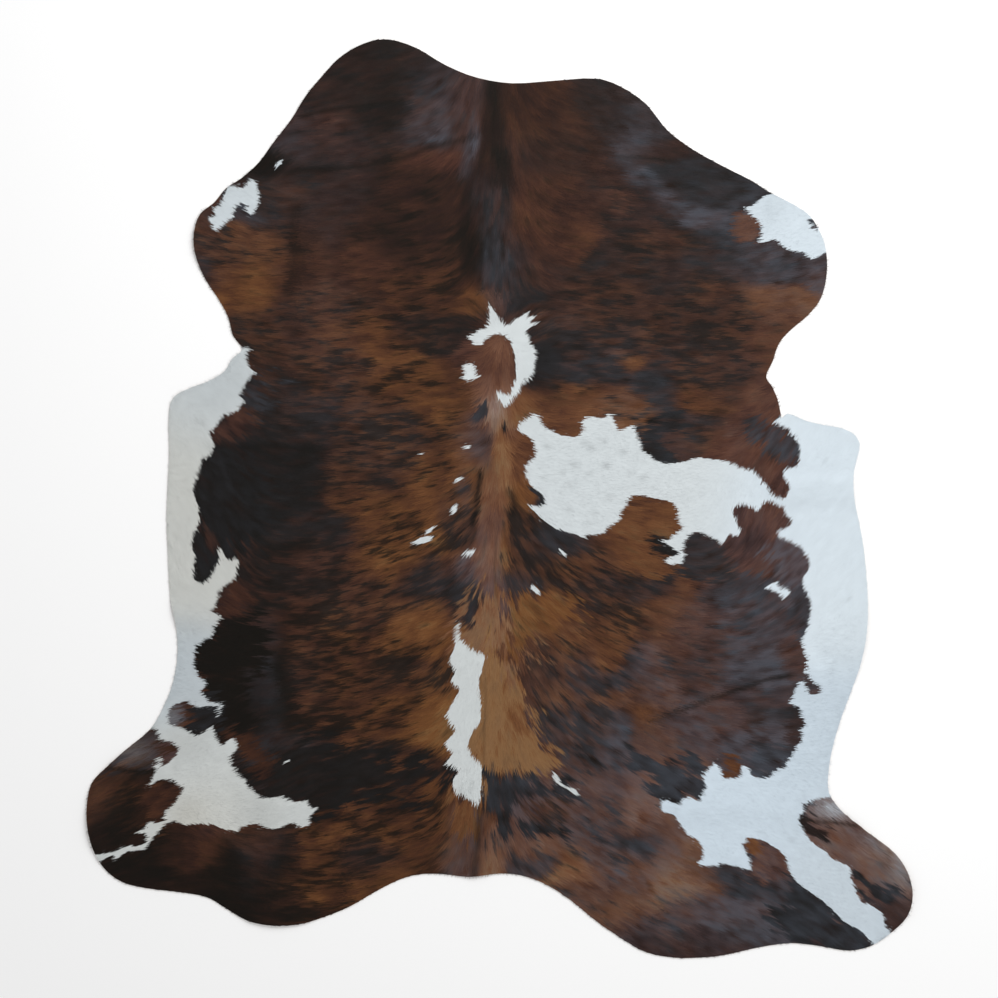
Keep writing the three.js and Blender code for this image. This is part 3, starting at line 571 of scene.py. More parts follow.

# Parts of the coat with a clear border: tawny, black, streak, red, painted sheen, softness of
# that border and its corners.
coatPatches = [
    ("tan wedge", 1.05, 0.00, 0.05, 0.10, 0.05, 9, [
        (-60, -300), (-25, -235), (5, -232), (20, -300), (5, -370), (25, -415), (55, -465),
        (78, -510), (91, -560), (106, -594), (143, -620), (152, -648), (118, -674), (70, -674),
        (22, -673), (0, -688), (-24, -708), (-38, -730), (-48, -756), (-60, -750), (-60, -650),
        (-90, -600), (-60, -540), (-60, -400), (-80, -350), (-105, -320)]),
    ("wedge top", 0.88, 0.00, 0.05, 0.40, 0.05, 22, [
        (-60, -300), (-25, -235), (20, -235), (60, -260), (60, -330), (15, -380), (-40, -370),
        (-80, -340)]),
    ("orange flare", 0.78, 0.04, 0.12, 0.00, 0.00, 10, [
        (30, -225), (70, -215), (125, -235), (165, -255), (190, -292), (150, -300), (100, -300),
        (60, -335), (25, -375), (30, -300)]),
    ("rust blob", 0.60, 0.00, 0.05, 0.20, 0.00, 7, [
        (250, -75), (290, -30), (315, 5), (345, 12), (375, 8), (410, 0), (436, -25), (432, -43),
        (445, -69), (415, -98), (384, -104), (378, -138), (400, -165), (380, -182), (330, -168),
        (290, -150), (270, -110)]),
    ("black tuft", 0.10, 0.90, 0.05, 0.00, 0.10, 5, [
        (350, -98), (405, -98), (442, -110), (445, -156), (411, -140), (391, -136), (362, -120)]),
    ("dark lobe", 0.30, 0.62, 0.14, 0.00, 0.25, 8, [
        (435, -105), (455, -75), (477, -70), (499, -80), (538, -105), (548, -150), (560, -190),
        (470, -205), (440, -185), (434, -154)]),
    ("red lobe", 0.42, 0.04, 0.07, 0.80, 0.18, 8, [
        (553, -34), (560, -8), (597, -8), (622, -20), (633, 0), (660, 0), (698, -37), (710, -51),
        (683, -80), (668, -95), (660, -120), (650, -185), (570, -188), (545, -150), (530, -105),
        (548, -80), (566, -92), (573, -78)]),
    ("lilac lobe", 0.45, 0.10, 0.05, 0.60, 0.80, 10, [
        (662, -88), (694, -92), (730, -112), (750, -143), (753, -160), (739, -185), (738, -210),
        (700, -217), (665, -195), (652, -150), (655, -110)]),
    ("lobe below", 0.22, 0.50, 0.06, 0.00, 0.55, 8, [
        (690, -225), (732, -208), (756, -247), (756, -272), (746, -318), (712, -322), (695, -280)]),
    ("belly right grey", 0.25, 0.55, 0.08, 0.00, 0.45, 9, [
        (598, 185), (658, 196), (704, 170), (732, 122), (730, 105), (700, 102), (680, 90),
        (660, 100), (640, 90), (610, 130), (585, 160)]),
    ("belly right tail", 0.48, 0.08, 0.08, 0.80, 0.10, 9, [
        (540, 180), (580, 150), (610, 110), (640, 85), (683, 78), (691, 52), (704, 34), (703, 16),
        (683, -8), (665, -3), (645, 5), (605, 56), (575, 65), (548, 80), (528, 110), (550, 140)]),
    ("ribs blue wedge", 0.10, 0.85, 0.06, 0.00, 0.20, 8, [
        (318, 165), (326, 118), (362, 80), (397, 70), (433, 80), (422, 110), (400, 132), (430, 152),
        (470, 200), (430, 216), (380, 190), (345, 170)]),
    ("flank left black", 0.05, 0.95, 0.04, 0.00, 0.00, 12, [
        (-665, -284), (-600, -280), (-556, -290), (-552, -380), (-590, -440), (-605, -560),
        (-660, -570), (-700, -545), (-680, -490), (-730, -440), (-745, -400), (-735, -350),
        (-690, -312)]),
    ("flank left lobe", 0.24, 0.10, 0.05, 0.55, 0.00, 7, [
        (-634, -190), (-600, -205), (-590, -240), (-610, -272), (-660, -283), (-700, -275),
        (-686, -246), (-684, -225)]),
    ("ribs left tongue", 0.36, 0.15, 0.06, 0.55, 0.05, 10, [
        (-704, 159), (-685, 177), (-668, 208), (-611, 238), (-578, 226), (-588, 190), (-620, 152),
        (-690, 130)]),
    ("armpit left grey", 0.24, 0.62, 0.20, 0.10, 0.26, 14, [
        (-630, 246), (-590, 312), (-560, 290), (-550, 240), (-600, 230)]),
    ("belly left black", 0.05, 0.93, 0.04, 0.00, 0.10, 14, [
        (-690, 122), (-600, 112), (-562, 60), (-565, -60), (-610, -140), (-675, -100), (-690, -190),
        (-720, -212), (-748, -180), (-748, -118), (-730, -21), (-746, 24), (-722, 100)]),
    ("thigh left black", 0.10, 0.88, 0.14, 0.00, 0.05, 12, [
        (-660, -625), (-630, -600), (-590, -625), (-500, -590), (-450, -570), (-380, -605),
        (-250, -622), (-160, -640), (-115, -628), (-92, -655), (-112, -688), (-185, -698),
        (-200, -762), (-200, -748), (-260, -712), (-350, -738), (-400, -748), (-460, -775),
        (-470, -735), (-600, -708), (-650, -660)]),
    ("thigh left tongue", 0.34, 0.20, 0.06, 0.30, 0.00, 10, [
        (-638, -570), (-600, -566), (-545, -625), (-560, -655), (-600, -628)]),
    ("rump left tan", 0.68, 0.04, 0.06, 0.20, 0.00, 9, [
        (-114, -690), (-80, -700), (-55, -725), (-55, -790), (-80, -812), (-110, -790),
        (-122, -740)]),
    ("rump right black", 0.14, 0.84, 0.20, 0.00, 0.28, 10, [
        (-28, -672), (10, -655), (60, -668), (112, -690), (120, -722), (60, -722), (32, -742),
        (30, -766), (90, -772), (150, -782), (172, -800), (110, -808), (10, -800), (-12, -770),
        (-22, -720)]),
    ("rump right tip", 0.12, 0.82, 0.16, 0.00, 0.30, 9, [
        (135, -672), (165, -680), (188, -694), (184, -722), (150, -735), (128, -712)]),
    ("rump right wisps", 0.52, 0.30, 0.34, 0.20, 0.15, 12, [
        (50, -728), (115, -722), (175, -738), (178, -770), (110, -768), (52, -758)]),
    ("thigh right black lobe", 0.10, 0.78, 0.06, 0.00, 0.45, 9, [
        (330, -615), (380, -628), (470, -612), (505, -634), (495, -663), (500, -691), (494, -705),
        (485, -735), (452, -718), (428, -742), (394, -730), (382, -700), (370, -665), (320, -650)]),
    ("thigh right tongue", 0.64, 0.00, 0.05, 0.15, 0.00, 7, [
        (528, -645), (530, -676), (563, -676), (588, -664), (586, -642), (568, -626), (545, -628)]),
    ("thigh right low lobe", 0.15, 0.60, 0.06, 0.00, 0.60, 9, [
        (588, -630), (600, -668), (649, -674), (672, -656), (695, -645), (700, -620), (680, -605),
        (610, -595)]),
    ("hind leg right bud", 0.58, 0.04, 0.06, 0.60, 0.38, 8, [
        (604, -898), (590, -857), (576, -829), (597, -803), (636, -811), (672, -832), (694, -852),
        (699, -885), (670, -912), (640, -906)]),
    ("hind leg right spot", 0.70, 0.00, 0.04, 0.20, 0.00, 7, [
        (590, -850), (592, -825), (612, -820), (628, -838), (615, -856)]),
    ("hock right black", 0.05, 0.85, 0.04, 0.00, 0.35, 12, [
        (700, -880), (752, -920), (812, -962), (884, -1020), (926, -1066), (860, -1100),
        (780, -1085), (700, -1060), (662, -1010), (684, -930)]),
    ("hind foot right edge", 0.30, 0.60, 0.05, 0.10, 0.40, 5, [
        (716, -744), (728, -722), (748, -714), (752, -724), (738, -740), (742, -768), (722, -768)]),
    ("hind foot right heel", 0.18, 0.62, 0.04, 0.40, 0.05, 7, [
        (706, -767), (722, -790), (750, -812), (800, -806), (812, -780), (780, -766), (735, -766)]),
    ("hind foot right band", 0.06, 0.88, 0.05, 0.00, 0.30, 8, [
        (852, -915), (890, -930), (950, -932), (978, -925), (980, -950), (950, -962), (935, -978),
        (900, -980), (868, -968)]),
    ("hind foot left top", 0.30, 0.40, 0.12, 0.15, 0.34, 8, [
        (-905, -610), (-830, -538), (-810, -575), (-822, -632), (-870, -645), (-950, -645)]),
    ("hind foot left bud", 0.36, 0.10, 0.06, 0.55, 0.25, 7, [
        (-830, -580), (-790, -575), (-762, -592), (-768, -618), (-800, -648), (-825, -640)]),
    ("hind foot left lobe", 0.36, 0.14, 0.06, 0.30, 0.00, 8, [
        (-850, -690), (-800, -664), (-760, -676), (-748, -694), (-770, -730), (-800, -770),
        (-836, -780), (-860, -750)]),
    ("hock blot left half", 0.42, 0.10, 0.04, 0.10, 0.90, 9, [
        (-802, -520), (-795, -495), (-760, -485), (-748, -520), (-760, -550), (-795, -545)]),
    ("hock blot right half", 0.08, 0.88, 0.04, 0.00, 0.15, 9, [
        (-745, -500), (-730, -488), (-665, -490), (-665, -530), (-700, -560), (-726, -578),
        (-750, -560), (-752, -530)]),
    ("shoulder right bud", 0.54, 0.03, 0.06, 0.50, 0.15, 8, [
        (555, 655), (575, 690), (600, 690), (628, 665), (630, 645), (620, 612), (575, 608),
        (556, 625)]),
    ("spine right eye", 0.10, 0.82, 0.06, 0.00, 0.25, 5, [
        (70, 32), (88, 24), (104, 10), (112, -8), (100, -18), (80, -14), (86, 4)]),
    ("spine black spot", 0.05, 0.92, 0.00, 0.00, 0.10, 6, [
        (22, 175), (35, 185), (46, 172), (34, 153)]),
    ("spine grey spot", 0.30, 0.60, 0.10, 0.10, 0.35, 8, [
        (-56, 205), (-40, 222), (-26, 205), (-32, 190), (-52, 188)]),
]
patchBorder = {
    "margin": 4,           # a border is worked out this many softnesses around the part
    "ragged": 1.7,         # how far the streaks push it in and out
    "blend": 1.3,          # how wide the change across it is; both are in softnesses
}

# Folded lines where the hair parts: its dark roots show, and the crease is painted with shade.
partingsAndCreaseShade = [
    # name, width, darkness, points
    ("right flank", 8, 0.75, [(356, -530), (420, -506), (500, -476), (560, -456), (640, -430),
        (690, -424)]),
    ("crest", 20, 0.35, [(-8, 990), (-5, 860), (15, 780)]),
    ("crest end", 12, 0.55, [(-15, 775), (20, 762)]),
    ("mane left", 7, 0.30, [(-42, 700), (-38, 600), (-46, 500)]),
    ("rump", 13, 0.60, [(-46, -735), (-52, -800), (-62, -905)]),
    ("spine slit", 10, 0.95, [(-41, 75), (-47, 30), (-45, -15), (-58, -50)]),
    ("spine right slit", 12, 0.75, [(22, 30), (30, 5), (24, -25)]),
    ("spine low slit", 5, 0.35, [(-8, -80), (-12, -160), (-8, -230)]),
    ("left hock", 9, 0.85, [(-945, -638), (-880, -648), (-825, -650)]),
    ("neck left", 7, 0.65, [(-470, 918), (-400, 935), (-320, 945), (-245, 957)]),
    ("crest fold", 11, 0.60, [(-62, 880), (-150, 850), (-230, 818), (-330, 798), (-560, 785)]),
    ("right shoulder", 11, 0.45, [(275, 822), (340, 819), (420, 812)]),
    ("left ribs", 13, 0.45, [(-690, 118), (-600, 118), (-500, 125), (-430, 120)]),
    ("right hock", 8, 0.75, [(742, -768), (790, -768), (845, -776)]),
    ("left shoulder", 11, 0.60, [(-478, 690), (-487, 640), (-490, 560), (-500, 490)]),
    ("left thigh", 14, 0.25, [(-590, -800), (-588, -900), (-600, -990)]),
    ("left leg", 10, 0.25, [(-752, -800), (-752, -930)]),
    ("right rump", 6, 0.35, [(235, -812), (300, -850), (392, -985)]),
    # these four only paint soft fold shade on the white hair
    ("right belly", 22, 0.10, [(690, 20), (760, 24), (850, 22)]),
    ("right hock fold", 20, 0.12, [(457, -754), (560, -752), (673, -756)]),
    ("left belly fold", 30, 0.12, [(-700, 215), (-640, 262), (-625, 300)]),
    ("right knee", 24, 0.12, [(805, -470), (815, -510), (830, -545)]),
    ("foot crease", 5, 0.45, [(925, -825), (922, -845), (925, -875)]),
    ("tan wedge", 5, 0.22, [(-30, -420), (-34, -560), (-38, -680)]),
]


def coatAt(x, y):
    # tawny, black, streak, red and bloom at each place, blended between the named ones
    total = np.full(x.shape, tiny)
    values = [np.full(x.shape, tiny * fact) for fact in farCoat]
    for _, midX, midY, reachX, reachY, *rowFacts in coat:
        weight = np.exp(-(((x - midX) / reachX) ** 2 + ((y - midY) / reachY) ** 2))
        total += weight
        for value, fact in zip(values, rowFacts):
            value += weight * fact
    return [value / total for value in values]


def insideEdges(x, y, edges):
    # even-odd count of the edges met on the way to the right
    inside = np.zeros(x.shape, bool)
    for (startX, startY), (endX, endY) in edges:
        if startY == endY:
            continue
        crossed = (startY > y) != (endY > y)
        at = startX + (y - startY) * (endX - startX) / (endY - startY)
        inside ^= crossed & (x < at)
    return inside


def loopEdges(points):
    return list(zip(points, points[1:] + points[:1]))


def depthInside(x, y, points):
    # distance to the border, counted as positive inside it
    depth = np.full(x.shape, np.inf)
    for (startX, startY), (endX, endY) in loopEdges(points):
        depth = np.minimum(depth, lineDistance(x, y, startX, startY, endX, endY))
    return np.where(insideEdges(x, y, loopEdges(points)), depth, -depth)


def smoothShare(value):
    value = np.clip(value, 0, 1)
    return value * value * (3 - 2 * value)


def applyPatches(x, y, values, ragged):
    for _, *patchFacts, soft, points in coatPatches:
        corners = np.array(points)
        margin = patchBorder["margin"] * soft
        near = (x > corners[:, 0].min() - margin) & (x < corners[:, 0].max() + margin)
        near &= (y > corners[:, 1].min() - margin) & (y < corners[:, 1].max() + margin)
        near = np.nonzero(near)[0]
        depth = depthInside(x[near], y[near], points) + ragged[near] * soft * patchBorder["ragged"]
        weight = smoothShare(0.5 + depth / (patchBorder["blend"] * soft))
        for value, fact in zip(values, patchFacts):
            value[near] += weight * (fact - value[near])


def partingAndCreaseShadeAt(x, y):
    # darkness at each place: the dark roots of a parting and the painted shade of its crease
    dark = np.zeros(x.shape)
    for _, lineWidth, darkness, points in partingsAndCreaseShade:
        away = np.full(x.shape, np.inf)
        for (startX, startY), (endX, endY) in zip(points, points[1:]):
            away = np.minimum(away, lineDistance(x, y, startX, startY, endX, endY))
        dark = np.maximum(dark, darkness * np.exp(-2 * (away / lineWidth) ** 2))
    return dark


# The outlines of the white markings, and of the dark blots that lie in them.
whites = {
    "left forefoot": [
        (-651, 751), (-615, 746), (-595, 768), (-581, 758), (-575, 730), (-576, 706), (-587, 692),
        (-600, 676), (-608, 692), (-606, 705), (-618, 710), (-630, 703), (-641, 689), (-637, 677),
        (-656, 665), (-667, 652), (-682, 640), (-691, 658), (-698, 672), (-683, 680), (-685, 696),
        (-670, 706), (-660, 727)],
    "withers star": [
        (-26, 472), (-4, 437), (15, 417), (28, 421), (48, 437), (70, 449), (66, 436), (88, 440),
        (72, 424), (91, 421), (62, 404), (74, 378), (89, 342), (83, 309), (75, 289), (52, 276),
        (46, 256), (31, 239), (15, 218), (0, 235), (-10, 264), (11, 251), (27, 251), (40, 297),
        (37, 338), (27, 380), (11, 392), (-14, 396), (-31, 384), (-47, 367), (-64, 373),
        (-76, 390), (-58, 400), (-35, 411), (-24, 429)],
    "withers fleck": [
        (-91, 316), (-76, 326), (-62, 320), (-49, 291), (-76, 285), (-95, 289), (-82, 299)],
    "right rib patch": [
        (45, 178), (69, 197), (91, 206), (100, 181), (124, 163), (146, 152), (177, 148), (195, 154),
        (199, 172), (195, 185), (216, 197), (247, 194), (268, 207), (275, 180), (289, 163),
        (320, 179), (335, 139), (344, 117), (371, 95), (397, 84), (433, 88), (477, 99), (522, 95),
        (548, 90), (575, 75), (610, 66), (630, 44), (650, 15), (675, -1), (682, -12), (675, -21),
        (655, -7), (633, -7), (622, -27), (597, -16), (564, -16), (559, -34), (579, -78),
        (570, -92), (548, -85), (535, -110), (499, -87), (477, -78), (455, -83), (442, -110),
        (437, -154), (411, -158), (391, -147), (415, -138), (433, -132), (406, -110), (384, -100),
        (411, -96), (437, -69), (426, -43), (428, -25), (406, -3), (371, 2), (344, 10), (317, 8),
        (295, -25), (286, -52), (264, -65), (251, -83), (207, -86), (204, -95), (176, -82),
        (134, -72), (103, -48), (69, -16), (94, -17), (111, -11), (103, 10), (75, 31), (63, 59),
        (63, 80), (82, 102), (86, 117), (82, 139), (66, 154), (48, 160)],
    "right forefoot": [
        (580, 699), (604, 702), (635, 727), (653, 732), (700, 730), (790, 690), (810, 600),
        (783, 592), (750, 574), (729, 592), (698, 595), (687, 602), (660, 623), (621, 614),
        (630, 637), (628, 657), (608, 678), (590, 697)],
    "right belly and hock": [
        (677, 197), (658, 186), (676, 176), (694, 165), (708, 147), (722, 122), (720, 105),
        (722, 91), (711, 78), (697, 73), (683, 71), (681, 52), (694, 34), (693, 16), (683, 2),
        (673, -1), (678, -16), (690, -37), (700, -51), (697, -65), (683, -67), (683, -77),
        (666, -79), (671, -93), (694, -100), (726, -118), (740, -143), (743, -160), (739, -175),
        (729, -185), (728, -210), (732, -216), (746, -247), (746, -272), (739, -313), (723, -341),
        (736, -379), (739, -414), (728, -407), (750, -435), (774, -454), (765, -468), (743, -469),
        (728, -435), (715, -438), (705, -466), (694, -490), (719, -500), (726, -524), (734, -542),
        (722, -552), (726, -576), (715, -590), (705, -611), (691, -628), (687, -642), (667, -649),
        (649, -666), (629, -669), (604, -663), (594, -642), (580, -639), (580, -660), (563, -669),
        (535, -669), (532, -649), (518, -632), (500, -646), (488, -663), (494, -691), (487, -701),
        (480, -725), (466, -722), (455, -711), (428, -732), (397, -722), (386, -724), (390, -750),
        (417, -757), (435, -781), (452, -808), (469, -814), (483, -829), (490, -854), (476, -874),
        (500, -881), (542, -874), (566, -881), (604, -890), (597, -857), (584, -829), (597, -810),
        (632, -819), (667, -840), (687, -857), (691, -881), (705, -912), (736, -937), (771, -961),
        (795, -982), (826, -1013), (868, -1037), (899, -1070), (910, -1090), (950, -1060),
        (937, -1041), (923, -1016), (920, -996), (899, -978), (868, -968), (854, -940),
        (843, -905), (840, -881), (798, -864), (784, -847), (750, -826), (729, -795), (715, -767),
        (729, -750), (729, -732), (750, -725), (771, -715), (795, -715), (830, -690), (930, -500),
        (930, 0), (900, 250), (700, 230)],
    "right flank slash": [
        (636, -213), (660, -199), (674, -209), (698, -223), (687, -237), (660, -223)],
    "left belly and hock": [
        (-598, 362), (-607, 343), (-602, 318), (-586, 305), (-601, 291), (-615, 266), (-623, 246),
        (-611, 232), (-629, 211), (-663, 200), (-677, 177), (-695, 159), (-692, 145), (-684, 132),
        (-691, 104), (-715, 94), (-719, 69), (-736, 24), (-732, 7), (-722, -21), (-719, -52),
        (-726, -73), (-736, -93), (-738, -118), (-729, -138), (-736, -173), (-732, -194),
        (-720, -203), (-701, -197), (-684, -170), (-670, -145), (-677, -128), (-669, -109),
        (-663, -132), (-649, -149), (-623, -141), (-629, -166), (-634, -194), (-653, -204),
        (-674, -225), (-677, -246), (-691, -270), (-665, -282), (-685, -312), (-684, -325),
        (-726, -353), (-731, -374), (-733, -402), (-722, -426), (-701, -440), (-717, -464),
        (-698, -485), (-665, -492), (-672, -520), (-690, -540), (-686, -554), (-677, -578),
        (-663, -592), (-650, -578), (-632, -575), (-627, -599), (-646, -616), (-643, -637),
        (-629, -658), (-611, -675), (-594, -696), (-573, -715), (-546, -717), (-521, -712),
        (-501, -724), (-483, -726), (-463, -724), (-449, -743), (-431, -736), (-454, -762),
        (-457, -786), (-476, -788), (-501, -776), (-528, -790), (-559, -790), (-587, -777),
        (-615, -786), (-629, -797), (-663, -793), (-684, -781), (-726, -779), (-750, -784),
        (-778, -771), (-802, -779), (-829, -810), (-850, -841), (-895, -845), (-920, -866),
        (-926, -852), (-958, -869), (-980, -865), (-968, -853), (-920, -845), (-892, -831),
        (-864, -834), (-843, -820), (-849, -803), (-878, -800), (-854, -793), (-836, -772),
        (-826, -779), (-805, -772), (-802, -748), (-781, -734), (-767, -713), (-757, -693),
        (-774, -682), (-788, -672), (-805, -671), (-822, -676), (-843, -693), (-829, -665),
        (-823, -648), (-820, -613), (-809, -641), (-788, -630), (-774, -613), (-769, -595),
        (-791, -582), (-816, -578), (-822, -554), (-840, -545), (-900, -480), (-850, -300),
        (-850, 300), (-700, 340), (-640, 352), (-622, 364)],
    "spine stripe": [
        (-104, -293), (-100, -297), (-95, -337), (-70, -359), (-33, -374), (-40, -403),
        (-49, -433), (-47, -470), (-44, -506), (-46, -536), (-66, -561), (-77, -591), (-66, -620),
        (-44, -635), (-42, -661), (-46, -720), (-51, -737), (-65, -727), (-82, -713), (-106, -710),
        (-113, -672), (-96, -651), (-130, -637), (-113, -612), (-134, -588), (-106, -557),
        (-120, -540), (-130, -519), (-110, -485), (-96, -457), (-117, -436), (-106, -415),
        (-120, -387), (-110, -360), (-103, -319)],
    "rump streak": [
        (127, -650), (132, -652), (137, -662), (144, -673), (151, -684), (167, -692), (177, -692),
        (185, -699), (193, -710), (184, -711), (174, -705), (164, -697), (148, -688), (138, -682),
        (129, -677), (129, -666)],
}
darks = {
    "left hock blot": [
        (-791, -502), (-778, -492), (-748, -485), (-726, -500), (-691, -495), (-674, -499),
        (-674, -526), (-691, -544), (-705, -558), (-726, -571), (-743, -558), (-764, -547),
        (-791, -540), (-795, -520)],
    "right forefoot blot": [(736, 672), (757, 672), (763, 644), (746, 654)],
}
flecks = [
    # white fleck, x, y, length, width, way it points in degrees
    ("left shoulder", -530, 803, 22, 8, 50),
    ("left thigh", -510, -630, 10, 8, 0),
    ("spine", -77, 124, 14, 9, 30),
    ("spine", -96, 48, 16, 10, 20),
    ("spine", -108, -24, 24, 14, 65),
    ("loin left", -183, -98, 50, 15, 15),
    ("loin left", -166, -74, 22, 8, 45),
    ("loin left", -73, -129, 26, 11, 5),
    ("loin right", 86, -218, 28, 12, -50),
    ("loin right", 152, -128, 18, 8, -50),
    ("rib left", -188, 108, 8, 5, 0),
]
# White hairs mixed into the dark coat.
roans = [
    # place, x, y, reach x, reach y, share
    ("hind foot right top", 792, -738, 40, 24, 0.46),
    ("hind foot right", 905, -820, 50, 30, 0.12),
    ("hind foot right rim", 955, -865, 30, 60, 0.16),
    ("hind foot left top", -880, -600, 50, 34, 0.12),
    ("left hock blot", -775, -520, 20, 26, 0.18),
    ("spine tan", -8, 232, 16, 24, 0.12),
]
# Grey freckles in the white hair.
freckles = [
    # place, x, y, reach, depth
    ("rib patch", 178, 82, 9, 0.26), ("rib patch", 255, 80, 9, 0.29),
    ("rib patch", 113, 128, 7, 0.24), ("rib patch", 220, 122, 8, 0.26),
    ("rib patch", 248, 139, 7, 0.24), ("rib patch", 204, 133, 8, 0.20),
    ("rib patch", 296, 114, 8, 0.22), ("rib patch", 212, 60, 6, 0.20),
    ("rib patch", 312, 62, 8, 0.18), ("rib patch", 345, 50, 8, 0.22),
    ("rib patch", 105, 50, 6, 0.18), ("rib patch", 168, 34, 10, 0.13),
    ("rib patch", 165, -26, 8, 0.18), ("rib patch", 228, -32, 8, 0.18),
    ("rib patch", 262, 8, 8, 0.15), ("rib patch", 215, -58, 7, 0.13),
    ("rib patch", 365, 25, 6, 0.11), ("rib patch", 150, 62, 7, 0.11),
    ("left belly", -798, -65, 4, 0.50), ("left belly", -793, -110, 4, 0.50),
    ("left belly", -727, 188, 5, 0.26), ("left belly", -712, 180, 5, 0.26),
    ("right belly", 780, 90, 5, 0.22), ("right belly", 835, -242, 5, 0.22),
    ("stripe", -78, -655, 5, 0.22), ("stripe", -66, -690, 6, 0.26), ("stripe", -95, -700, 6, 0.22),
    ("left hock", -797, -745, 6, 0.31), ("right hind", 700, -818, 7, 0.18),
]
# Painted light on the white hair: darker and warmer to the left, brighter and cooler to the right,
# where the light comes from, and darker still at some folds and edges.
paintedWhiteLight = [
    # white hair, x, y, reach, brightness, coolness
    ("left belly", -760, 0, 200, 0.81, 0.25),
    ("left belly top", -700, 260, 110, 0.79, 0.60),
    ("left hock", -700, -690, 150, 0.84, 0.40),
    ("left hock low", -700, -770, 90, 0.86, 0.10),
    ("left knee", -760, -430, 90, 0.71, 0.70),
    ("left hock top", -750, -592, 44, 0.70, 0.35),
    ("left hock edge", -742, -756, 40, 0.66, 0.00),
    ("left thigh low", -585, -752, 40, 0.72, 0.35),
    ("spine stripe", -85, -520, 150, 0.86, 0.45),
    ("rib patch", 250, 60, 220, 0.90, 0.55),
    ("withers", 30, 350, 120, 0.92, 0.50),
    ("right belly", 800, -50, 180, 0.94, 0.80),
    ("right belly middle", 790, -230, 120, 0.97, 0.75),
    ("right knee", 780, -600, 140, 0.84, 0.95),
    ("right hock", 600, -770, 150, 0.93, 0.95),
    ("right hind", 800, -930, 130, 0.86, 0.85),
    ("right forefoot", 730, 650, 110, 0.90, 0.80),
    ("right forefoot edge", 645, 690, 36, 0.76, 0.80),
    ("left forefoot", -640, 710, 100, 0.86, 0.65),
]


def whiteAt(x, y):
    white = np.zeros(x.shape, bool)
    for points in whites.values():
        white |= insideEdges(x, y, loopEdges(points))
    for points in darks.values():
        white &= ~insideEdges(x, y, loopEdges(points))
    for _, midX, midY, length, width, turn in flecks:
        turnX, turnY = np.cos(np.radians(turn)), np.sin(np.radians(turn))
        along = ((x - midX) * turnX + (y - midY) * turnY) / (length / 2)
        across = ((y - midY) * turnX - (x - midX) * turnY) / (width / 2)
        white |= along ** 2 + across ** 2 < 1
    return white.astype(float)


def roanAt(x, y):
    share = np.zeros(x.shape)
    for _, midX, midY, reachX, reachY, most in roans:
        share += most * np.exp(-(((x - midX) / reachX) ** 2 + ((y - midY) / reachY) ** 2))
    return share


def paintedLightAndFrecklesAt(x, y):
    # brightness and coolness of the white hair: its painted light and shade, and its grey freckles
    total, bright, cool = np.full(x.shape, tiny), np.zeros(x.shape), np.zeros(x.shape)
    for _, midX, midY, reach, rowBright, rowCool in paintedWhiteLight:
        weight = np.exp(-((x - midX) ** 2 + (y - midY) ** 2) / reach ** 2)
        total += weight
        bright += weight * rowBright
        cool += weight * rowCool
    freckled = np.ones(x.shape)
    for _, midX, midY, reach, depth in freckles:
        freckled -= depth * np.exp(-((x - midX) ** 2 + (y - midY) ** 2) / reach ** 2)
    return freckled * bright / total, cool / total


mixing = {
    "leastSwing": 0.05,    # streaks in the calmest parts
    "swing": 1.15,         # how far a streak of 1 swings the share of black hair
    "rowSwing": 0.9,       # how much a place's own streak adds to that
    "contrast": 1.25,      # how sharply streaks part black from tawny
    "deepest": 0.9,        # share of black hair in the darkest streaks
    "fullSwing": 0.3,      # parts with this much streak are fully parted
    "cloudTawny": 0.06,    # how the cloudiness changes tawny and black
    "cloudBlack": 0.08,
    "fineTawny": 0.04,     # how fine streaks and single locks change tawny
    "speckleTawny": 0.1,
    "foldShade": 0.35,     # how much the painted shade of a parting greys white hair
    "whiteTufts": 0.012,   # how tufts and single locks change white hair
    "whiteSpeckle": 0.016,
    "paintedSheenTufts": 0.3,     # how tufts break up the painted sheen
    "paintedSheenShare": 0.6,          # share of the painted sheen's blue-grey where it is fullest
}


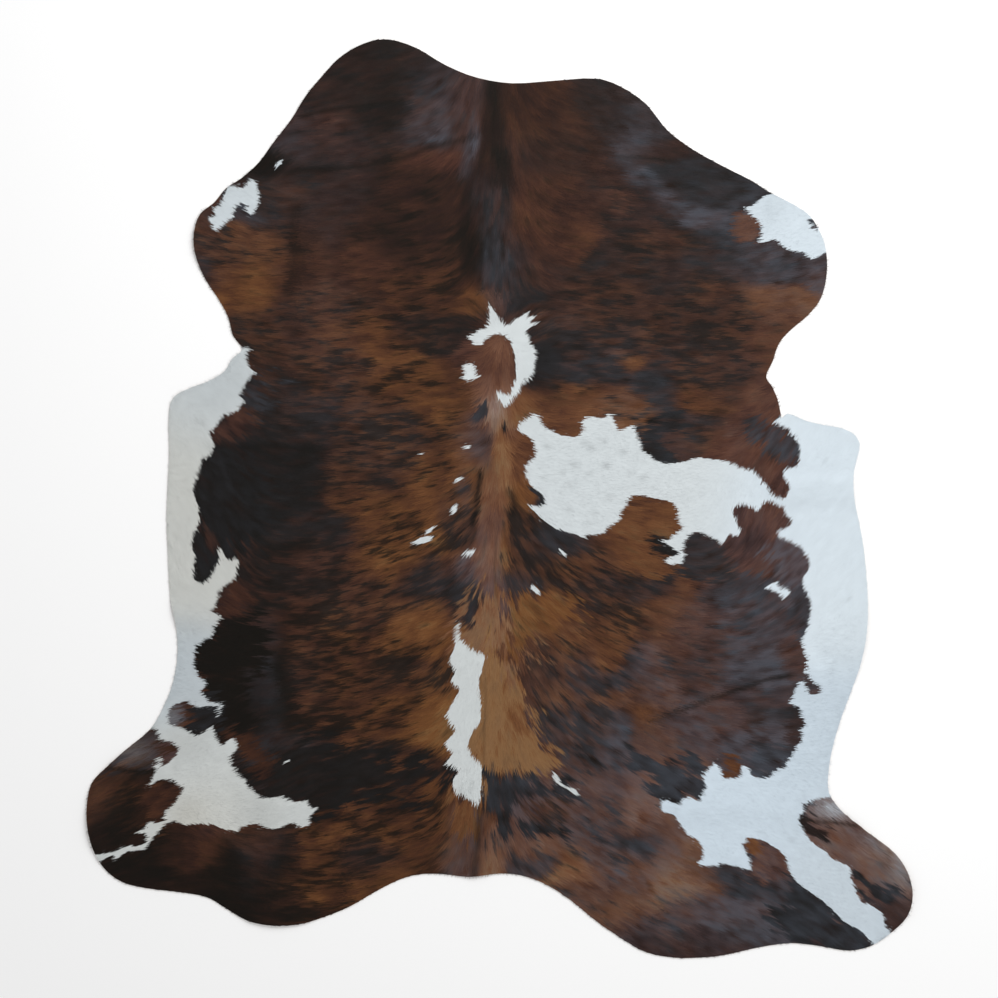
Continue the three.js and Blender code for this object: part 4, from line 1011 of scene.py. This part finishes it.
def coatFacts(x, y, aimX, aimY, speckle):
    # what a lock rooted at x, y knows of its colour; its markings are read at aimX, aimY
    calm = np.clip(np.abs(x) / brindle["calm"], brindle["leastWander"], 1)
    asideX, asideY = calm * readGrid(wanderX, x, y), calm * readGrid(wanderY, x, y)
    values = coatAt(x + asideX, y + asideY)
    streak = readGrid(streaks, x, y)
    patchWander = brindle["patchWander"]
    applyPatches(aimX + patchWander * asideX, aimY + patchWander * asideY, values, streak)
    tawny, black, swing, red, paintedSheen = values
    cloudy = readGrid(cloud, x, y)
    tuft = readGrid(tufts, x, y)
    partedAndShaded = partingAndCreaseShadeAt(x, y)
    tawny = tawny + mixing["cloudTawny"] * cloudy + mixing["speckleTawny"] * speckle
    tawny += mixing["fineTawny"] * readGrid(fineStreaks, x, y)
    # where black and tawny hair mix, it is mostly one or the other
    swing = mixing["leastSwing"] + mixing["rowSwing"] * swing
    black = black + swing * mixing["swing"] * (streak + speckle) + mixing["cloudBlack"] * cloudy
    parts = smoothShare(0.5 + (black - 0.5) * mixing["contrast"])
    mixed = np.clip(swing / mixing["fullSwing"], 0, 1)
    black = np.clip(black, 0, 1) * (1 - mixed) + mixing["deepest"] * parts * mixed
    # partings darken the coat: dark roots and the painted shade of the crease
    black = black * (1 - partedAndShaded) + partedAndShaded
    # painted sheen, broken up by tufts and taken out of the partings
    paintedSheen = np.clip(paintedSheen * (1 - partedAndShaded) * (1 + mixing["paintedSheenTufts"] * tuft), 0, 1)
    # painted light and shade of the white hair, with its freckles
    bright, cool = paintedLightAndFrecklesAt(aimX, aimY)
    bright *= 1 - mixing["foldShade"] * partedAndShaded + mixing["whiteTufts"] * tuft
    bright += mixing["whiteSpeckle"] * speckle
    roan = roanAt(x, y) * np.clip(1 + speckle, 0, 2) * (1 - black)
    white = np.maximum(whiteAt(aimX, aimY), roan)
    return {
        "coat": np.stack([np.clip(tawny, 0, 1), black, np.clip(red, 0, 1)], 1),
        "paintedGloss": mixing["paintedSheenShare"] * paintedSheen,
        "marking": np.stack([white, bright, cool], 1),
    }


def storeFacts(mesh, facts):
    for name, values in facts.items():
        kind, part = ("FLOAT_VECTOR", "vector") if values.ndim == 2 else ("FLOAT", "value")
        layer = mesh.attributes.new(name, kind, "POINT")
        layer.data.foreach_set(part, values.astype(np.float32).ravel())


coatColors = {
    # both grounds run from tawny 0 to 1
    "brown": ["#221510", "#321e15", "#482b1b", "#5f3b21", "#734a28", "#86633e"],
    "rust": ["#251615", "#36201b", "#4c2e26", "#623f31", "#795342", "#90705c"],
    "black": "#110e0a",
    # colour of the painted sheen: a blue-grey highlight laid into the dark hair
    "paintedGloss": "#535964",
    "warmWhite": "#dedbd0",
    "coolWhite": "#d7e6f2",
}
coatFinish = {
    "tuftSize": 14.0,      # spots of smoother and rougher hair
    "detail": 1.0,
    "roughness": (0.49, 0.61),
    "shine": 0.1,
    "strands": 7.0,        # hairs across a lock, far coarser than real ones so that they can show
    "strandHeight": 0.2,
    "strandBump": 0.7,
    "strandTone": 0.2,     # how much paler or darker than its lock a hair is
}
mixShare, mixFirst, mixSecond, mixResult = 0, 6, 7, 2  # the colour sockets of a Mix node


def cattleHair(name):
    # Short straight cattle hair, tanned with its natural oil: brindled brown and black that lies
    # flat and looks soft, with a low broad gloss, a blue-grey sheen painted into the colour of the
    # dark hair, and chalky white that carries painted light and shade.
    material = bpy.data.materials.new(name)
    material.use_nodes = True
    tree = material.node_tree
    tree.nodes.clear()
    facts = {}
    for fact in ("coat", "paintedGloss", "marking", "strand"):
        facts[fact] = addNode(tree, "ShaderNodeAttribute", attribute_name=fact).outputs
    coatParts, markParts = [
        addNode(tree, "ShaderNodeSeparateXYZ", {"Vector": facts[fact]["Vector"]}).outputs
        for fact in ("coat", "marking")]
    strands = addNode(tree, "ShaderNodeTexNoise", {
        "W": facts["strand"]["Fac"], "Scale": coatFinish["strands"],
        "Detail": coatFinish["detail"]}, noise_dimensions="1D").outputs["Fac"]
    tone = addNode(tree, "ShaderNodeMapRange", {
        "Value": strands, "To Min": -coatFinish["strandTone"], "To Max": coatFinish["strandTone"]})
    tawny = addNode(tree, "ShaderNodeMath", {
        0: coatParts["X"], 1: tone.outputs["Result"]}, operation="ADD")
    grounds = []
    for shades in (coatColors["brown"], coatColors["rust"]):
        ramp = addNode(tree, "ShaderNodeValToRGB", {"Fac": tawny.outputs["Value"]})
        elements = ramp.color_ramp.elements
        for _ in shades[2:]:
            elements.new(0.5)
        for order, (element, shade) in enumerate(zip(elements, shades)):
            element.position = order / (len(shades) - 1)
            element.color = linearColor(shade)
        grounds.append(ramp.outputs["Color"])
    ground = addNode(tree, "ShaderNodeMix", {
        mixShare: coatParts["Z"], mixFirst: grounds[0], mixSecond: grounds[1]}, data_type="RGBA")
    brindled = addNode(tree, "ShaderNodeMix", {
        mixShare: coatParts["Y"], mixFirst: ground.outputs[mixResult],
        mixSecond: linearColor(coatColors["black"])}, data_type="RGBA")
    # painted sheen: blue-grey mixed into the dark coat where it would catch the light
    sheenPaintedOn = addNode(tree, "ShaderNodeMix", {
        mixShare: facts["paintedGloss"]["Fac"], mixFirst: brindled.outputs[mixResult],
        mixSecond: linearColor(coatColors["paintedGloss"])}, data_type="RGBA")
    pale = addNode(tree, "ShaderNodeMix", {
        mixShare: markParts["Z"], mixFirst: linearColor(coatColors["warmWhite"]),
        mixSecond: linearColor(coatColors["coolWhite"])}, data_type="RGBA")
    # the white hair's brightness, which holds painted light and shade, scales its white
    shaded = addNode(tree, "ShaderNodeMix", {
        mixShare: markParts["Y"], mixFirst: linearColor("#000000"),
        mixSecond: pale.outputs[mixResult]}, data_type="RGBA")
    marked = addNode(tree, "ShaderNodeMix", {
        mixShare: markParts["X"], mixFirst: sheenPaintedOn.outputs[mixResult],
        mixSecond: shaded.outputs[mixResult]}, data_type="RGBA")
    place = addNode(tree, "ShaderNodeTexCoord").outputs["Object"]
    patchy = addNode(tree, "ShaderNodeTexNoise", {
        "Vector": place, "Scale": 1 / (coatFinish["tuftSize"] * mm),
        "Detail": coatFinish["detail"]})
    smooth, rough = coatFinish["roughness"]
    roughness = addNode(tree, "ShaderNodeMapRange", {
        "Value": patchy.outputs["Fac"], "To Min": smooth, "To Max": rough})
    bump = addNode(tree, "ShaderNodeBump", {
        "Height": strands, "Distance": coatFinish["strandHeight"] * mm,
        "Strength": coatFinish["strandBump"]})
    surface = addNode(tree, "ShaderNodeBsdfPrincipled", {
        "Base Color": marked.outputs[mixResult], "Roughness": roughness.outputs["Result"],
        "Specular IOR Level": coatFinish["shine"], "Normal": bump.outputs["Normal"]})
    addNode(tree, "ShaderNodeOutputMaterial", {"Surface": surface.outputs["BSDF"]})
    return material


suede = {
    "deep": "#9a8570",
    "pale": "#b6a28b",
    "cloudSize": 140.0,    # clouds left by brushing
    "cloudDetail": 4.0,
    "napSize": 2.5,
    "napDetail": 2.0,
    "napShare": 0.35,      # how much of the colour's change is the nap's
    "napHeight": 0.15,
    "napBump": 0.5,
    "spread": (0.45, 0.9),  # noise taken for the deepest and the palest
    "roughness": 0.95,
    "shine": 0.1,
}


def tannedSuede(name):
    # The flesh side of the tanned skin: dry tan suede, with a short matt nap and paler clouds where
    # it was brushed.
    material = bpy.data.materials.new(name)
    material.use_nodes = True
    tree = material.node_tree
    tree.nodes.clear()
    place = addNode(tree, "ShaderNodeTexCoord").outputs["Object"]
    clouds = addNode(tree, "ShaderNodeTexNoise", {
        "Vector": place, "Scale": 1 / (suede["cloudSize"] * mm), "Detail": suede["cloudDetail"]})
    nap = addNode(tree, "ShaderNodeTexNoise", {
        "Vector": place, "Scale": 1 / (suede["napSize"] * mm), "Detail": suede["napDetail"]})
    both = addNode(tree, "ShaderNodeMath", {
        0: nap.outputs["Fac"], 1: suede["napShare"], 2: clouds.outputs["Fac"]},
        operation="MULTIPLY_ADD")
    deepest, palest = suede["spread"]
    spread = addNode(tree, "ShaderNodeMapRange", {
        "Value": both.outputs["Value"], "From Min": deepest, "From Max": palest})
    tone = addNode(tree, "ShaderNodeMix", {
        mixShare: spread.outputs["Result"], mixFirst: linearColor(suede["deep"]),
        mixSecond: linearColor(suede["pale"])}, data_type="RGBA")
    bump = addNode(tree, "ShaderNodeBump", {
        "Height": nap.outputs["Fac"], "Distance": suede["napHeight"] * mm,
        "Strength": suede["napBump"]})
    surface = addNode(tree, "ShaderNodeBsdfPrincipled", {
        "Base Color": tone.outputs[mixResult], "Roughness": suede["roughness"],
        "Specular IOR Level": suede["shine"], "Normal": bump.outputs["Normal"]})
    addNode(tree, "ShaderNodeOutputMaterial", {"Surface": surface.outputs["BSDF"]})
    return material


hairMaterial = cattleHair("cattleHair")
suedeMaterial = tannedSuede("tannedSuede")
print("materials made")


def topOfHide():
    # the node's own outline and triangles, without its side and underside
    top = bmesh.new()
    top.from_mesh(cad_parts["hide"].data)
    bmesh.ops.remove_doubles(top, verts=top.verts, dist=hide["weld"] * mm)
    top.normal_update()
    rest = [face for face in top.faces if face.normal.z < facesUp]
    bmesh.ops.delete(top, geom=rest, context="FACES")
    return top


def makeSkin():
    skin = topOfHide()
    rim = [edge for edge in skin.edges if edge.is_boundary]
    rim = [[(vertex.co.x / mm, vertex.co.y / mm) for vertex in edge.verts] for edge in rim]
    bmesh.ops.subdivide_edges(skin, edges=skin.edges[:], cuts=hide["cuts"], use_grid_fill=True)
    places = np.array([vertex.co[:2] for vertex in skin.verts]) / mm
    heights = hideHeight(places[:, 0], places[:, 1]) + hide["leather"]
    for vertex, height in zip(skin.verts, heights):
        vertex.co.z = height * mm
    skin.normal_update()
    bmesh.ops.solidify(skin, geom=skin.faces[:], thickness=hide["leather"] * mm)
    skin.normal_update()
    mesh = bpy.data.meshes.new("hideSkin")
    skin.to_mesh(mesh)
    skin.free()
    x, y = np.array([vertex.co[:2] for vertex in mesh.vertices]).T / mm
    storeFacts(mesh, coatFacts(x, y, x, y, 0))
    mesh.materials.append(hairMaterial)
    mesh.materials.append(suedeMaterial)
    for face in mesh.polygons:
        face.material_index = int(face.normal.z < facesUp)  # underside and cut edge
    piece = bpy.data.objects.new("hideSkin", mesh)
    bpy.context.scene.collection.objects.link(piece)
    return piece, rim


skinPiece, skinEdges = makeSkin()
print("skin", len(skinPiece.data.polygons), "faces")

hair = {
    "spacing": 3.9,        # from one lock to the next
    "halfX": 1010,         # half of the field that is planted, before it is cut to the skin
    "halfY": 1120,
    "length": 24.0,
    "lengthSpread": 0.25,
    "width": 3.3,
    "widthSpread": 0.3,
    "ridge": 0.1,          # height of a lock's back over its edges
    "round": 0.09,         # how far a lock's edges are shaded as if they turned aside
    "rootLift": 0.1,
    "tipLift": 0.5,        # tips lie on the next locks' roots
    "tipLiftSpread": 0.25,
    "turnSpread": 3.5,     # degrees that locks stray from the flow
    "speckle": 0.30,       # how locks differ from their neighbours, as a share of the streaks
    "overhang": 0.72,      # share of a lock that has to lie on the skin
    "whiteAim": 0.45,      # how far along a lock the markings are read
    "borderLook": 0.8,     # how far along it looks for the border of a white marking
    "borderShare": (0.35, 0.9),  # length of the locks that meet one
    "tipTawny": 0.16,      # how much paler a lock's tip is than its root
    "whiteRootShade": 0.03,      # the same for white hair, as painted shade that greys its roots
    "paleFrom": 0.6,       # how far along a lock its root's darker tone ends
    "strandSets": 100,     # different patterns of hairs within a lock
    "cellMargin": 0.15,    # room round each lock in its cell of the UV map, as a share of it
    "bands": ["hairNeck", "hairShoulders", "hairRibs", "hairLoins", "hairRump"],
}


def lockShape():
    # one lock along +X, its root at 0 and its tip at 1: a flat spike with a ridged back
    triangleHalf, triangleFoot, triangleTall = np.cos(np.radians(30)), 0.5, 1.5
    lock = bmesh.new()
    bmesh.ops.create_cone(lock, cap_ends=True, cap_tris=False, segments=3, radius1=1, radius2=0,
                          depth=1)
    corners = np.array([vertex.co[:] for vertex in lock.verts])
    faces = np.array([[vertex.index for vertex in face.verts] for face in lock.faces])
    lock.free()
    along = corners[:, 2] + 0.5
    across = corners[:, 0] / triangleHalf / 2
    up = (corners[:, 1] + triangleFoot) / triangleTall * (1 - along)
    return along, across, up, faces


def plantLocks():
    # a jittered grid of roots over the skin, each lock laid the way the hair flows
    spacing = hair["spacing"]
    x, y = np.meshgrid(np.arange(-hair["halfX"], hair["halfX"], spacing),
                       np.arange(-hair["halfY"], hair["halfY"], spacing))
    x = x.ravel() + chance.uniform(-0.5, 0.5, x.size) * spacing
    y = y.ravel() + chance.uniform(-0.5, 0.5, y.size) * spacing
    flowX, flowY = flowAt(x, y)
    turn = np.radians(chance.normal(0, hair["turnSpread"], x.size))
    dirX = flowX * np.cos(turn) - flowY * np.sin(turn)
    dirY = flowX * np.sin(turn) + flowY * np.cos(turn)
    length = hair["length"] * (1 + chance.uniform(-1, 1, x.size) * hair["lengthSpread"])
    reach = length * hair["overhang"]
    keep = insideEdges(x, y, skinEdges) & insideEdges(x + dirX * reach, y + dirY * reach, skinEdges)
    x, y, dirX, dirY, length = [values[keep] for values in (x, y, dirX, dirY, length)]
    # locks that would reach over the border of a white marking are shorter
    look = hair["borderLook"] * length
    meets = whiteAt(x, y) != whiteAt(x + dirX * look, y + dirY * look)
    length = np.where(meets, chance.uniform(*hair["borderShare"], x.size) * length, length)
    z = hideHeight(x, y) + hide["leather"] + hair["rootLift"]
    tipZ = hideHeight(x + dirX * length, y + dirY * length) + hide["leather"]
    tipZ += hair["tipLift"] * (1 + chance.uniform(-1, 1, x.size) * hair["tipLiftSpread"])
    middleZ = hideHeight(x + dirX * length / 2, y + dirY * length / 2) + hide["leather"]
    bulge = np.maximum(middleZ - (z + tipZ) / 2 + hair["rootLift"], 0)  # locks lie over the folds
    width = hair["width"] * (1 + chance.uniform(-1, 1, x.size) * hair["widthSpread"])
    return {"x": x, "y": y, "z": z + bulge, "rise": tipZ - z, "dirX": dirX, "dirY": dirY,
            "length": length, "width": width}


def lockCells(x, y):
    # in the UV map each lock has a small cell of its own, in the order in which they lie
    rows = int(np.sqrt(x.size)) + 1
    row, column = np.empty(x.size, int), np.empty(x.size, int)
    row[np.argsort(y)] = np.arange(x.size) * rows // x.size
    order = np.lexsort((x, row))
    starts = np.searchsorted(row[order], np.arange(rows))
    column[order] = np.arange(x.size) - starts[row[order]]
    return row[:, None], column[:, None], rows, column.max() + 1


def makeLocks(name, chosen):
    # the shape's corners are laid along each chosen lock's own way, all in one mesh
    along, across, up, faces = lockShape()
    lock = {key: values[chosen, None] for key, values in locks.items()}
    count, corners = len(chosen), len(along)
    x = lock["x"] + lock["dirX"] * lock["length"] * along - lock["dirY"] * lock["width"] * across
    y = lock["y"] + lock["dirY"] * lock["length"] * along + lock["dirX"] * lock["width"] * across
    z = lock["z"] + lock["rise"] * along + hair["ridge"] * up
    places = np.stack([x, y, z], 2).reshape(-1, 3) * mm
    loops = (faces[None] + np.arange(count)[:, None, None] * corners).ravel()
    mesh = bpy.data.meshes.new(name)
    mesh.vertices.add(count * corners)
    mesh.vertices.foreach_set("co", places.astype(np.float32).ravel())
    mesh.loops.add(len(loops))
    mesh.loops.foreach_set("vertex_index", loops.astype(np.int32))
    mesh.polygons.add(count * len(faces))
    mesh.polygons.foreach_set("loop_start", np.arange(0, len(loops), 3, dtype=np.int32))
    mesh.update(calc_edges=True)
    # a lock is shaded as a soft round bundle that lies along the hide, not as its few flat faces
    lean = 2 * hair["round"] * across
    slope = lock["rise"] / lock["length"] * np.ones(corners)
    normals = np.stack([-lock["dirY"] * lean - lock["dirX"] * slope,
                        lock["dirX"] * lean - lock["dirY"] * slope, np.ones_like(slope)], 2)
    normals /= np.linalg.norm(normals, axis=2, keepdims=True)
    mesh.normals_split_custom_set_from_vertices(normals.reshape(-1, 3))
    facts = {key: np.repeat(values[chosen], corners, axis=0) for key, values in lockFacts.items()}
    paler = np.tile(along, count) - hair["paleFrom"]
    facts["coat"][:, 0] += hair["tipTawny"] * paler
    # white locks get painted shade at the root and are paler at the tip
    facts["marking"][:, 1] += hair["whiteRootShade"] * paler
    facts["strand"] = (np.arange(count)[:, None] % hair["strandSets"] + across).ravel()
    storeFacts(mesh, facts)
    row, column, rows, columns = lockCells(lock["x"].ravel(), lock["y"].ravel())
    room = 1 - 2 * hair["cellMargin"]
    u = (column + hair["cellMargin"] + room * along) / columns
    v = (row + 0.5 + room * across) / rows
    layer = mesh.uv_layers.new(name="OFBake")
    cornerUvs = np.stack([u, v], 2).reshape(-1, 2)[loops]
    layer.data.foreach_set("uv", cornerUvs.astype(np.float32).ravel())
    mesh.materials.append(hairMaterial)
    piece = bpy.data.objects.new(name, mesh)
    bpy.context.scene.collection.objects.link(piece)
    print(name, count, "locks", len(mesh.polygons), "faces")
    return piece


locks = plantLocks()
speckle = chance.normal(0, hair["speckle"], locks["x"].size)
aim = hair["whiteAim"] * locks["length"]
lockFacts = coatFacts(locks["x"], locks["y"], locks["x"] + locks["dirX"] * aim,
                      locks["y"] + locks["dirY"] * aim, speckle)
print("locks planted", speckle.size)
cuts = np.quantile(locks["y"], np.linspace(1, 0, len(hair["bands"]) + 1))
cuts[-1] -= 1  # the last band keeps the lowest lock
hairPieces = []
for name, high, low in zip(hair["bands"], cuts[:-1], cuts[1:]):
    chosen = np.nonzero((locks["y"] <= high) & (locks["y"] > low))[0]
    hairPieces.append(makeLocks(name, chosen))

for piece in [skinPiece] + hairPieces:
    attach(piece, "root")
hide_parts("hide")

studio = {
    "floorSize": 20.0,     # metres, as all below
    "floorDrop": 0.0003,   # so that the floor and the underside are never the same plane
    "floor": "#ffffff",
    "floorRoughness": 0.9,
    "floorShine": 0.1,
    "keyPlace": (2.2, 2.6, 3.6),
    "keySize": 3.6,
    "keyPower": 172.0,
    "air": "#ffffff",
    "airStrength": 0.60,
    "cameraPlace": (-0.0012, 0.0, 5.6555),
    "lens": 85.0,
    "sensor": 36.0,
}


def makeFloor():
    plane = bmesh.new()
    bmesh.ops.create_grid(plane, x_segments=1, y_segments=1, size=studio["floorSize"] / 2)
    mesh = bpy.data.meshes.new("studioFloor")
    plane.to_mesh(mesh)
    plane.free()
    # White board with a matt painted face: an even pale ground that takes a soft shadow.
    material = bpy.data.materials.new("paleBoard")
    material.use_nodes = True
    shader = material.node_tree.nodes["Principled BSDF"]
    shader.inputs["Base Color"].default_value = linearColor(studio["floor"])
    shader.inputs["Roughness"].default_value = studio["floorRoughness"]
    shader.inputs["Specular IOR Level"].default_value = studio["floorShine"]
    mesh.materials.append(material)
    floor = bpy.data.objects.new("studioFloor", mesh)
    floor.location.z = -studio["floorDrop"]
    bpy.context.scene.collection.objects.link(floor)


def addLight(name, place, size, power):
    # a square soft light that faces the middle of the hide
    light = bpy.data.lights.new(name, "AREA")
    light.shape = "SQUARE"
    light.size = size
    light.energy = power
    lamp = bpy.data.objects.new(name, light)
    lamp.location = place
    lamp.rotation_euler = (-Vector(place)).to_track_quat("-Z", "Y").to_euler()
    bpy.context.scene.collection.objects.link(lamp)


makeFloor()
addLight("keyLight", studio["keyPlace"], studio["keySize"], studio["keyPower"])
world = bpy.data.worlds.new("studioAir")
world.use_nodes = True
air = world.node_tree.nodes["Background"]
air.inputs["Color"].default_value = linearColor(studio["air"])
air.inputs["Strength"].default_value = studio["airStrength"]
bpy.context.scene.world = world
bpy.context.scene.view_settings.view_transform = "Standard"

cameraData = bpy.data.cameras.new("camera")
cameraData.lens = studio["lens"]
cameraData.sensor_width = studio["sensor"]
camera = bpy.data.objects.new("camera", cameraData)
camera.location = studio["cameraPlace"]  # straight above, looking down
bpy.context.scene.collection.objects.link(camera)
bpy.context.scene.camera = camera
print("studio lit")
